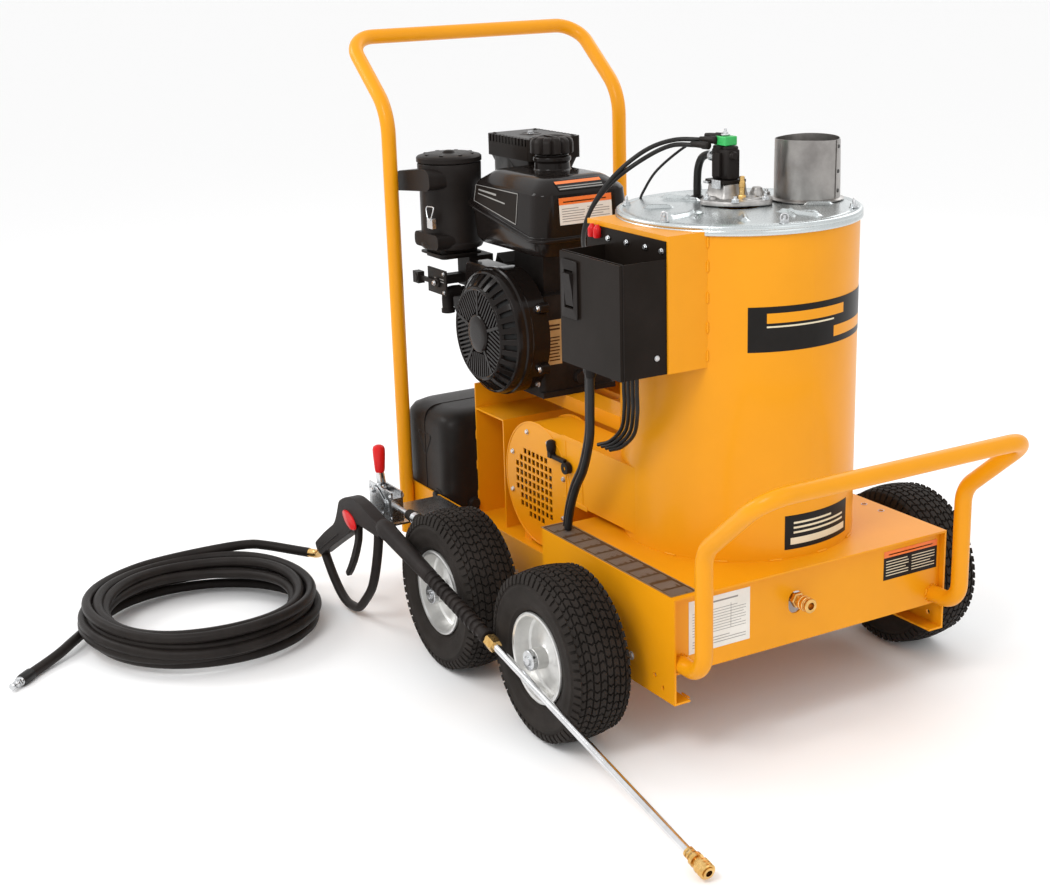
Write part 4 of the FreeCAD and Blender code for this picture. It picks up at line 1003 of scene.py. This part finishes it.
def recoil():
    """The starter's cover: a deep band, radial louvres on its cone and a five-part centre grille."""
    bosses = [boss(degrees) for degrees in (28, 152, 208, 332)]
    bm = bmesh.new()
    band = [(150, 131), (150, 134), (190, 134), (192, 136.5), (203, 136.5), (206, 133), (217, 132),
            (223, 129), (225, 125), (222, 122), (150, 127)]
    add_turned(bm, CRANK, -Y, band, 96, closed=True)
    add_turned(bm, CRANK, -Y, [(242, 103), (248, 100), (250, 96), (248, 92), (241, 92)], 96, closed=True)
    for turn in turns(30):
        fin = [[Vector((r, -y - h, s * wide)) for h, s in ((-5, -1), (-5, 1), (0.6, 0.84), (0.6, -0.84))]
               for r, y, wide in ((101, 247, 7.2), (110, 240, 6.6), (126, 223, 8.5))]
        lean = Matrix.Translation(CRANK) @ Matrix.Rotation(turn, 4, "Y")
        bmesh.ops.transform(bm, matrix=lean, verts=add_loft(bm, fin))
    for sector in range(5):
        turn = Matrix.Translation(CRANK) @ Matrix.Rotation(math.radians(72 * sector + 18), 4, "Y")
        for offset in range(-54, 55, 9):
            near = max(42, abs(offset) / math.tan(math.radians(36)) + 6)
            far = math.sqrt(93**2 - offset * offset)
            if far - near > 6:
                add_box(bm, (near, far), (-248, -243), (offset - 2.4, offset + 2.4), turn)
        spoke = turn @ Matrix.Rotation(math.radians(36), 4, "Y")
        add_box(bm, (38, 93), (-249, -242), (-3.5, 3.5), spoke)
    add_turned(bm, CRANK, -Y, [(240, 41), (249, 41), (251, 39), (252.6, 34), (253.2, 20), (253.2, 1)], 48)
    add_slab(bm, round_corners(rectangle(-350, -205, 657, 767), 22), -195, -150.5)
    for place in bosses:
        add_turned(bm, place, -Y, [(151, 12), (170, 11), (171, 10)], 24)
    piece("recoil_cover", bm, GLOSS, "engine_black", bevel=0.5, replaces=["recoil_shroud"])
    # Under the louvres and the grille, a matte near-black cone and disc: painted shade in place of the dark
    # inside seen through the openings.
    cone = [(214, 126), (238, 101), (240, 96), (240, 0.5), (236, 0.5), (236, 94), (212, 122)]
    turned("recoil_painted_shade", CRANK, -Y, cone, 72, BLACK_AND_SHADE, "engine_black")
    corners = ((-285, -150.3, 530), (-125, -150.3, 530), (-280, -150.3, 700), (-130, -150.3, 705))
    bolts("engine_bolts", *[(place - Y * 171, -Y, 6) for place in bosses],
          *[(place, -Y, 6) for place in corners])


def tank_side(height):
    """How far the tank's wall leans in at a height above its seam."""
    return 1 + 7 * (height - 858) / 80


def tank():
    """The engine's fuel tank, its scalloped cap and its labels."""
    bm = bmesh.new()
    levels = ((40, 810, 0), (14, 813, 0), (5, 826, 0), (0, 844, 1), (-7, 845, 1), (-8, 848.5, 1),
              (-7, 852, 1), (1, 853, 1), (1, 858, 1), (8, 938, 0), (13, 945, 0), (36, 962, 0), (44, 966, 0),
              (56, 968, 0))
    rings = []
    for inset, height, slope in levels:
        outline = rounded_box(TANK_X, TANK_Y, inset, 46 - inset * 0.3, 8)
        rings.append([Vector((x, y, height + slope * 50 * max(0, (TANK_X[1] - 40 - x) / 268) ** 1.3))
                      for x, y in outline])
    add_loft(bm, rings)
    neck = [(958, 44), (966, 43), (970, 38), (984, 37), (987, 40), (995, 40), (997, 35), (1001, 34),
            (1001, 28), (958, 28)]
    add_turned(bm, CAP, Z, neck, 64, closed=True)
    piece("engine_tank_shell", bm, GLOSS, "engine_black", bevel=1.4, sharp=28, replaces=["engine_fuel_tank"])

    bm = bmesh.new()
    levels = ((1002.6, 44, 4), (1004, 45.8, 5), (1024, 45.8, 6), (1030, 44, 6), (1034, 40, 5), (1036, 34, 2),
              (1036.4, 28, 0), (1034.4, 25, 0), (1034.2, 3, 0))
    add_fluted(bm, CAP, levels, 144, lambda turn: max(0, math.cos(12 * turn)) ** 2)
    add_box(bm, (CAP.x - 24, CAP.x + 24), (CAP.y - 4, CAP.y + 4), (1032, 1037))
    piece("engine_cap_look", bm, PLASTIC, "black_plastic", "engine_cap", replaces=["engine_fuel_cap"])

    rows = [(INK_ORANGE, 0, 125, 40, 54)] + text_rows(LABEL_BLACK, 10, 112, 44, 50, 1)
    rows += text_rows(INK_GREY, 6, 60, 6, 36, 6, 0.3) + text_rows(INK_GREY, 66, 119, 6, 36, 6, 0.3)
    label("tank_label", lambda u, v, h: Vector((TANK_X[1] - tank_side(878 + v) + h + 0.4, -146 + u, 878 + v)),
          (125, 54), LABEL_WHITE, rows, "engine_black")

    def badge(u, v, lift):
        low = 902 - 30 * u / 178
        height = low + v / 60 * (936 - low)
        seam = 858 + 0.18 * max(0, 231 - u)
        inset = 1 + 7 * (height - seam) / (938 - seam)
        return Vector((-301 + u, TANK_Y[0] + inset - lift - 0.8, height))
    prints = frame_bars(INK_GREY, 0, 178, 0, 60, 1.8) + [(INK_GREY, 14, 90, 42, 47), (INK_GREY, 14, 128, 30,
                                                                                      33)]
    label("tank_badge", badge, (178, 60), BLACK, prints, "engine_black", columns=8)

    rows = [(INK_ORANGE, 0, 108, 14, 20)] + text_rows(INK_GREY, 2, 106, 2, 12, 2, 0.4)
    label("tank_strip", lambda u, v, h: Vector((-38.4 - 23 * v / 21 + h, -140 + u,
                                                945.6 + 16.6 * v / 21 + h)), (108, 20), LABEL_BLACK, rows,
          "engine_black")


def guard():
    """The ring pressed on top of the muffler's guard, its rivets, its skirt and its bolt."""
    bm = bmesh.new()
    add_turned(bm, (-372, -10, 1021.6), Z, [(0, 26), (1.2, 24), (1.2, 20), (0, 18)], 48, closed=True)
    for place in ((-440, -62, 1021.8), (-280, -62, 1021.8), (-440, 42, 1021.8), (-280, 42, 1021.8)):
        add_turned(bm, place, Z, [(0, 5), (1.2, 4.6), (2.2, 2.6), (2.5, 0.4)], 16)
    levels = [(0, 978), (3, 972), (16, 935), (20, 915)]
    skirt = [flat_ring(rounded_box((-452, -268), (-72, 52), i, 14), z) for i, z in levels]
    inner = [flat_ring(rounded_box((-450, -270), (-70, 50), i, 13), z) for i, z in reversed(levels)]
    add_loft(bm, skirt + inner, closed=True)
    piece("guard_pressing", bm, BLACK, "engine_black")
    bolts("guard_bolt", ((-372, -10, 1022.2), Z, 6.5))


def filter_housing():
    """The air cleaner canister with its rain hood, lid and latch."""
    bm = bmesh.new()
    wall = [(790, 58), (791, 66), (797, 69), (803, 69), (805, 66.5), (930, 66.5), (933, 68.6), (972, 69.4),
            (974.6, 68), (974.6, 64), (795, 64)]
    add_turned(bm, FILTER, Z, wall, 80, closed=True)
    add_turned(bm, FILTER, Z, [(789, 50), (790, 64), (793, 64), (793, 50)], 64, closed=True)
    hood = [(-535, 905), (-524, 936), (-500, 953), (-372, 968), (-352, 960), (-350, 930), (-362, 922),
            (-500, 909)]
    add_slab(bm, round_corners(hood, 10), -274, -205)
    add_slab(bm, round_corners(rectangle(-458, -346, 794, 826), 14), -262, -200)
    add_slab(bm, round_corners(rectangle(-453, -368, -240, -150), 12), 768.5, 789.5, "XY")
    add_slab(bm, round_corners(rectangle(-462, -356, -250, -145), 16), 776, 781, "XY")
    piece("filter_can", bm, PLASTIC, "black_plastic", bevel=0.8, replaces=["air_cleaner"])
    bm = bmesh.new()
    cover = [(975.5, 68), (977, 71), (986, 71), (989, 68), (991, 60), (993.5, 50), (994, 14), (997, 12),
             (999, 8)]
    add_turned(bm, FILTER, Z, cover, 80)
    for k in range(8):
        add_box(bm, (FILTER.x + 26, FILTER.x + 56), (FILTER.y - 4, FILTER.y + 4), (989, 993.8),
                turn_about(FILTER, Z, 45 * k))
    piece("filter_lid", bm, PLASTIC, "black_plastic", bevel=0.5, replaces=["air_cleaner_lid"])
    bm = bmesh.new()
    add_tube(bm, [(-376, -268, 888), (-350, -268, 889), (-346, -270, 882), (-356, -272, 862),
                  (-368, -272, 862), (-378, -270, 882), (-374, -268, 889)], 1.7, 8, 5)
    add_box(bm, (-374, -350), (-272, -262), (842, 864))
    piece("filter_latch", bm, PLATED, "bright_steel", bevel=0.8)


def engine_trim():
    """Ribs, plates, elbow and screws on the engine and its control panel."""
    bm = bmesh.new()
    for x in (-300, -110):
        for z in (640, 600):
            add_slab(bm, round_corners(rectangle(x - 8, x + 8, z - 14, z + 14), 5), -154, -149)
    for z in range(540, 569, 7):
        add_box(bm, (-280, -130), (-153, -149), (z, z + 3))
    piece("case_ribs", bm, CAST, "engine_cast", bevel=0.6)
    turned("throttle_knob", (-483, -245, 716), -Y, [(0, 9), (2, 11), (7, 11), (9, 9), (9, 1)], 32, PLASTIC,
           "black_plastic", "throttle", bevel=0.4)
    bm = bmesh.new()
    add_tube(bm, [(-402, -184, 690), (-402, -206, 690), (-402, -215, 682), (-402, -215, 652)], 13, 20, 6)
    add_turned(bm, (-402, -215, 650), Z, [(-6, 12), (-5, 15), (4, 15), (5, 12)], 24)
    add_slab(bm, round_corners([(-330, 700), (-420, 690), (-430, 660), (-345, 560), (-310, 560)], 16), -190,
             -150.5)
    piece("breather_elbow", bm, PLASTIC, "engine_black", bevel=1.5)
    label("throttle_plate", lambda u, v, h: Vector((-443 + u, -240 - h, 692 + v)), (80, 51), LABEL_BLACK,
          text_rows(INK_GREY, 30, 74, 26, 38, 2, 0.3), "black_plastic")
    rows = text_rows(LABEL_BROWN, 4, 33, 74, 90, 2, 0.5) + text_rows(LABEL_BROWN, 6, 32, 8, 64, 8, 0.4)
    label("case_plate", lambda u, v, h: Vector((CRANK.x + 95 + h, -137 + u, 570 + v)), (37, 96), LABEL_TAN,
          rows, "engine_black")
    bolts("panel_screws", ((-395, -250, 716), -Y, 5), ((-368, -240.3, 697), -Y, 3.4),
          ((-368, -240.3, 738), -Y, 3.4))


recoil()
tank()
guard()
filter_housing()
engine_trim()

# ---------------------------------------------------------------- switch box and cables

BOX_X, BOX_Y, BOX_Z = (285, 481), -338, (690, 895)
ROCKER = Vector((322, BOX_Y, 830))


def switch_details():
    """The switch box's rim, rocker bezel, glands, terminals and cables."""
    bm = bmesh.new()
    lip = rectangle(BOX_X[0] - 1.5, BOX_X[1] + 1.5, BOX_Z[0] - 1.5, BOX_Z[1] + 1)
    inner = rectangle(BOX_X[0] + 1.5, BOX_X[1] - 1.5, BOX_Z[0] + 1.5, BOX_Z[1] - 1)
    add_frame(bm, [(lip, BOX_Y + 8), (lip, BOX_Y + 6), (inner, BOX_Y + 6), (inner, BOX_Y + 8)])
    bezel = round_corners(rectangle(ROCKER.x - 27, ROCKER.x + 27, ROCKER.z - 53, ROCKER.z + 53), 5)
    window = round_corners(rectangle(ROCKER.x - 15, ROCKER.x + 15, ROCKER.z - 35, ROCKER.z + 35), 3)
    add_frame(bm, [(bezel, BOX_Y - 3.1), (bezel, BOX_Y - 4.4), (window, BOX_Y - 5.4), (window, BOX_Y - 3.1)])
    glands = ((300, -290), (322, -300))
    for x, y in glands:
        add_turned(bm, (x, y, BOX_Z[0] - 0.4), -Z, [(0, 13), (7, 13), (9, 11), (24, 10.5), (30, 8.4)], 24)
    add_turned(bm, (416, -275, BOX_Z[0] - 0.4), -Z, [(0, 34), (3, 34), (5, 31)], 40)
    piece("box_trim", bm, PLASTIC, "black_plastic", bevel=0.5)
    bolts("box_screws", ((BOX_X[1] + 0.3, -262, 722), X, 4.2),
          *[((x, -242.4, 908), -Y, 4.6) for x in (240, 300, 360, 420, 470)])
    bm = bmesh.new()
    for x in (250, 268):
        add_turned(bm, (x, -246, 905), Z, [(0, 7), (3, 8), (16, 8), (19, 6), (24, 3)], 20)
    piece("red_terminals", bm, RED, "black_plastic")
    bm = bmesh.new()
    for x in range(395, 438, 14):
        add_tube(bm, [(x, -275, 690), (x, -275, 650), (x - 4, -272, 612), (x - 30, -262, 566),
                      (x - 76, -258, 530), (x - 120, -256, 512)], 3.8, 12, 6)
    for x, y in glands:
        add_tube(bm, [(x, y, 664), (x - 2, y, 600), (x - 12, y + 4, 540), (x - 48, y + 12, 470),
                      (x - 88, y + 18, 420), (x - 112, y + 19, 370), (x - 122, y + 18, 326)], 7.5, 18)
    piece("cable_sleeves", bm, WIRE, "black_rubber", replaces=["control_cables"])


def fan_details():
    """The fan housing's seams and screws, and the shutter's knob."""
    bm = bmesh.new()
    centre = Vector((-45, 0, 338))
    for y in (204.5, 111):
        rib = [(y - 1.6, 130), (y - 1.6, 133.5), (y + 1.6, 133.5), (y + 1.6, 130)]
        add_turned(bm, centre, -Y, rib, 96, closed=True)
    for z in (336, 467):
        add_box(bm, (60, 150), (-206.4, -204.5), (z - 5, z + 5))
    for x in (70, 132):
        add_box(bm, (x - 1.5, x + 1.5), (-206.2, -204.5), (340, 464))
    piece("fan_seams", bm, YELLOW, "yellow_paint", bevel=0.5)
    rim = [math.radians(degrees) for degrees in range(20, 360, 45)]
    spots = [centre + Vector((math.cos(turn) * 112, -205.2, math.sin(turn) * 112)) for turn in rim]
    bolts("fan_screws", *[(spot, -Y, 4.6) for spot in spots if spot.z > 250])
    turned("shutter_knob", (26, -213, 428), Z, [(0, 7), (3, 9), (14, 10.5), (22, 9), (25, 5)], 32, PLASTIC,
           "black_plastic", "shutter")


def burner_tank():
    """The moulded burner fuel tank and its knurled cap."""
    bm = bmesh.new()
    span_x, span_y = (-532, -313), (-277, 140)
    levels = ((30, 201), (10, 206), (2, 216), (0, 228), (0, 396), (3, 410), (11, 423), (26, 431), (44, 434))
    add_loft(bm, [flat_ring(rounded_box(span_x, span_y, inset, 46, 8), height) for inset, height in levels])
    middle = sum(span_x) / 2
    seam = round_corners(rectangle(span_y[0] - 1.2, span_y[1] + 1.2, 200, 435), 40, 8)
    add_slab(bm, seam, middle - 1.3, middle + 1.3, "YZ")
    add_turned(bm, (-410, 60, 430), Z, [(0, 34), (5, 33), (7, 29), (22, 28), (22, 24), (0, 24)], 48,
               closed=True)
    add_turned(bm, (-372, -276, 238), -Y, [(0, 17), (3, 15), (4, 11), (9, 10), (10, 8)], 32)
    add_turned(bm, (-318, -217, 224), X, [(4, 15), (10, 14), (12, 11), (15, 11)], 32)
    dent = round_corners([(-455, 372), (-392, 372), (-424, 318)], 12)
    add_loft(bm, [[Vector((-424 + (x + 424) * s, span_y[0] - h, 354 + (z - 354) * s)) for x, z in dent]
                  for s, h in ((1.12, -0.2), (1.06, 1.4), (0.98, 1.6), (0.9, 0.2), (0.86, 0.1))])
    piece("burner_tank_shell", bm, SATIN, "black_plastic", sharp=40, replaces=["burner_fuel_tank"])
    bm = bmesh.new()
    levels = ((438.6, 36, 0), (440, 38, 1.4), (458, 38, 1.4), (461, 36, 1), (464, 30, 0), (464.3, 4, 0))
    add_fluted(bm, Vector((-410, 60, 0)), levels, 120, lambda turn: 0.5 + 0.5 * math.cos(30 * turn))
    piece("burner_cap_look", bm, PLASTIC, "black_plastic", "burner_cap", replaces=["burner_fuel_cap"])


switch_details()
fan_details()
burner_tank()

# ---------------------------------------------------------------- brake, gun and lance

PIVOT = Vector((-320, -440, 300))
GUN_Y = -495.5
LANCE_START, LANCE_END = Vector((-190, GUN_Y, 257)), Vector((918, GUN_Y, 26))
AHEAD = (LANCE_END - LANCE_START).normalized()
WAND = (215, 450)
OUTLET = Vector((0, -39, 258))


def brake():
    """The grip, arm, links, rivets and pad of the parking brake."""
    grip = [(0, 7), (1, 9.6), (6, 11), (20, 12), (40, 13.4), (52, 13.6), (58, 11.5), (61, 6.5), (61.8, 1)]
    turned("brake_grip", PIVOT + Z * 36, Z, grip, 40, RED, "black_plastic", "brake_lever")
    bm = bmesh.new()
    add_turned(bm, PIVOT + Y * 9, -Y, [(0, 11), (1, 12), (17, 12), (18, 11)], 32)
    add_tube(bm, [PIVOT, PIVOT + Vector((-5, 0, 14)), PIVOT + Vector((-6, 0, 26)), PIVOT + Z * 38], 5.2, 14,
             6)
    add_rod(bm, PIVOT - Y * 18, Y, 3.9, 36)
    arm = [(-328, 298), (-312, 298), (-305, 314), (-308, 330), (-313, 341), (-327, 341), (-330, 330),
           (-326, 316)]
    for y in (-446, -437):
        add_slab(bm, round_corners(arm, 6), y, y + 3)
    piece("brake_arm", bm, PLATED, "bright_steel", "brake_lever", replaces=["brake_handle"])
    bm = bmesh.new()
    rib = round_corners(rectangle(-334, -256, 262, 290), 8)
    link = round_corners([(-330, 296), (-308, 292), (-268, 272), (-262, 284), (-300, 308), (-326, 310)], 6)
    for side in (-1, 1):
        for x, z in ((-341, 252), (-244, 252), (-341, 302), (-244, 302), (-292, 252)):
            add_turned(bm, (x, PIVOT.y + side * 14.1, z), Y * side, [(0, 5.4), (2, 5), (3.4, 3),
                                                                     (3.8, 0.5)], 16)
        add_slab(bm, rib, PIVOT.y + side * 14.1, PIVOT.y + side * 15.6)
        add_slab(bm, link, PIVOT.y + side * 15.8, PIVOT.y + side * 17.8)
        screw(bm, PIVOT + Y * side * 18.3, Y * side, 6)
    for x in (-340, -250):
        screw(bm, (x, -289, 220), -Y, 5.4)
    piece("brake_rivets", bm, PLATED, "bright_steel")
    bm = bmesh.new()
    rod_z = PIVOT.z - 22
    bellows = [(-4, 13.6), (0, 13.6), (2, 12), (22, 11.4), (24, 7), (24, 6.2)]
    add_turned(bm, (-162, PIVOT.y, rod_z), -X, bellows, 32)
    add_turned(bm, (-142, PIVOT.y, rod_z), X, [(0.2, 12), (1, 13), (8, 13), (11, 11), (12, 6), (12.2, 1)], 32)
    piece("brake_pad", bm, RUBBER, "black_rubber", "brake_rod")


def gun():
    """The gun's shell with its guard, the trigger and the badge."""
    bm = bmesh.new()
    head = [(-405, 242), (-396, 262), (-372, 276), (-345, 286), (-318, 290), (-280, 286), (-236, 276),
            (-190, 266), (-190, 236), (-300, 236), (-322, 226), (-350, 200), (-440, 147), (-520, 98),
            (-538, 104), (-548, 120), (-490, 162), (-430, 200), (-416, 220)]
    add_slab(bm, round_corners(head, 12), GUN_Y - 13.8, GUN_Y + 13.8)
    for x in range(-520, -431, 11):
        z = 113 + 0.63 * (x + 520)
        add_slab(bm, [(x, z - 2), (x + 22, z + 10), (x + 22, z + 14), (x, z + 2)], GUN_Y - 14.8, GUN_Y - 13)
    loop = [(-528, 106), (-506, 80), (-480, 54), (-448, 30), (-416, 17), (-384, 17), (-346, 26), (-306, 60),
            (-274, 94), (-254, 130), (-238, 172), (-226, 215), (-222, 246)]
    section = [(10.5 * math.cos(turn), 9.5 * math.sin(turn)) for turn in turns(16)]
    add_sweep(bm, smooth_path([(x, GUN_Y, z) for x, z in loop], 6), section)
    collar = [(0, 12), (20, 13.4), (24, 15), (38, 15), (42, 12)]
    add_turned(bm, (-502, GUN_Y, 129), Vector((-0.83, 0, -0.56)), collar, 32)
    profile = [(-14, 15), (-4, 18), (6, 20), (16, 20), (30, 18.8), (60, 18.4), (110, 17.4), (160, 16.4),
               (200, 15.6), (WAND[0] - 3, 15.6), (WAND[0] - 1, 14.4)]
    add_turned(bm, LANCE_START, AHEAD, profile, 48)
    piece("gun_shell", bm, GRIP, "black_plastic", bevel=3.0, sharp=40, replaces=["gun_body"])

    bm = bmesh.new()
    trigger = [(-334, 236), (-312, 236), (-316, 206), (-320, 188), (-336, 156), (-352, 130), (-374, 102),
               (-392, 84), (-402, 92), (-384, 114), (-366, 140), (-346, 174), (-338, 192)]
    add_slab(bm, round_corners(trigger, 6), GUN_Y - 5.8, GUN_Y + 5.8)
    piece("trigger_blade", bm, PLASTIC, "black_plastic", "trigger", bevel=2.0, replaces=["gun_trigger"])

    bm = bmesh.new()
    centre = Vector((-339, GUN_Y - 13.9, 235))
    rings = []
    for size, lift in ((1, 0), (1, 1.8), (0.94, 2.8), (0.5, 3.4), (0.06, 3.8)):
        ring = []
        for turn in turns(40):
            a, b = size * math.cos(turn), size * math.sin(turn)
            ridge = 2.4 * (1 - abs(a)) if lift > 2 else 0
            ring.append(centre + Vector((28 * a + 17 * b, -lift - ridge, 3 * a - 18 * b)))
        rings.append(ring)
    add_loft(bm, rings)
    piece("gun_badge", bm, RED, "black_plastic")


def wand():
    """The ribbed grip, the steel lance and the brass fittings at its two ends."""
    bm = bmesh.new()
    start, end = WAND
    profile = [(start, 14), (start + 1, 14.9)]
    for k in range(12):
        along = start + 14 + 17 * k
        profile += [(along - 5, 12.4), (along - 3.6, 15.2), (along + 3.6, 15.2), (along + 5, 12.4)]
    profile += [(end - 14, 12.8), (end - 12, 15), (end - 1, 15), (end, 14), (end, 7.6), (start, 7.6)]
    add_turned(bm, LANCE_START, AHEAD, profile, 48, closed=True)
    for k in range(28):
        lug = turn_about(LANCE_START, AHEAD, 360 / 28 * k) @ Matrix.Translation(LANCE_START)
        lug = lug @ AHEAD.to_track_quat("X", "Z").to_matrix().to_4x4()
        add_box(bm, (end - 12, end - 1), (-0.8, 0.8), (14.4, 15.6), lug)
    piece("wand_cover", bm, GRIP, "black_plastic", replaces=["wand_grip"])

    length = (LANCE_END - LANCE_START).length
    turned("lance_tube", LANCE_START, AHEAD, [(0, 7), (0.5, 7.5), (length, 7.5), (length + 10, 7.5)], 40,
           STEEL, "chrome_tube", replaces=["lance"])
    bm = bmesh.new()
    nut = LANCE_START + AHEAD * (end + 8)
    add_turned(bm, nut - AHEAD * 7, AHEAD, [(0, 9), (1, 10.5), (6, 10.5), (7, 9)], 32)
    add_hexagon(bm, nut, AHEAD, 15, 24)
    socket = [(0, 11), (1.5, 13), (9, 13), (10, 9), (40, 9), (40, 10.4), (41.8, 10.4), (42, 9.6), (42, 6),
              (12, 6), (12, 1)]
    add_turned(bm, LANCE_END, AHEAD, socket, 40)
    for offset in (-16, -8):
        add_turned(bm, LANCE_END + AHEAD * offset, AHEAD, [(0, 7.6), (0, 10), (4, 10), (4, 7.6)], 32,
                   closed=True)
    piece("lance_brass", bm, BRASS, "brass_fitting")
    sleeve = [(18, 9.1), (18, 13.4), (19, 14.4), (23, 14.4), (24, 13.2), (26, 13.2), (27, 14.4), (31, 14.4),
              (32, 13.2), (34, 13.2), (35, 14.4), (38, 14.4), (39.6, 13), (39.6, 9.1)]
    turned("lance_sleeve_look", LANCE_END, AHEAD, sleeve, 48, BRASS, "brass_fitting", "lance_collar",
           closed=True, replaces=["lance_sleeve"])


def outlet():
    """The quick coupler in the front panel; its profiles run along X from the frame's origin."""
    sleeve = [(619.2, 9.1), (619.2, 13), (620.2, 14), (624, 14), (625, 12.8), (628, 12.8), (629, 14),
              (633, 14), (634, 12.8), (636, 12.8), (637, 14), (639, 13.4), (639.6, 12), (639.6, 9.1)]
    turned("outlet_sleeve_look", OUTLET, X, sleeve, 48, BRASS, "brass_fitting", "outlet_collar", closed=True,
           replaces=["outlet_sleeve"])
    bm = bmesh.new()
    body = [(588, 9), (618, 9), (640.2, 9), (640.2, 12.6), (641, 13.6), (643.6, 13.6), (644.6, 12.4),
            (644.6, 7), (630, 6), (630, 1)]
    add_turned(bm, OUTLET, X, body, 48)
    add_hexagon(bm, OUTLET + X * 602, X, 15, 9)
    piece("outlet_body", bm, BRASS, "brass_fitting", replaces=["outlet_coupler"])


brake()
gun()
wand()
outlet()

paint(YELLOW, "chassis", "front_handle", "rear_handle", "engine_bench", "heater_shell", "box_bracket",
      "fan_housing")
paint(BLACK, "muffler_guard", "switch_box", "fan_motor")
paint(CAST, "engine_block", "carburettor")
paint(PLASTIC, "throttle_lever", "rocker_switch", "shutter_lever")
paint(ALUMINIUM, "pump")
paint(PLATED, "axles", "brake_base", "brake_plunger", "crankshaft", "fan_wheel")
paint(PIPE, "heating_coil", "pressure_pipe", "muffler")
paint(BRASS, "inlet_swivel")
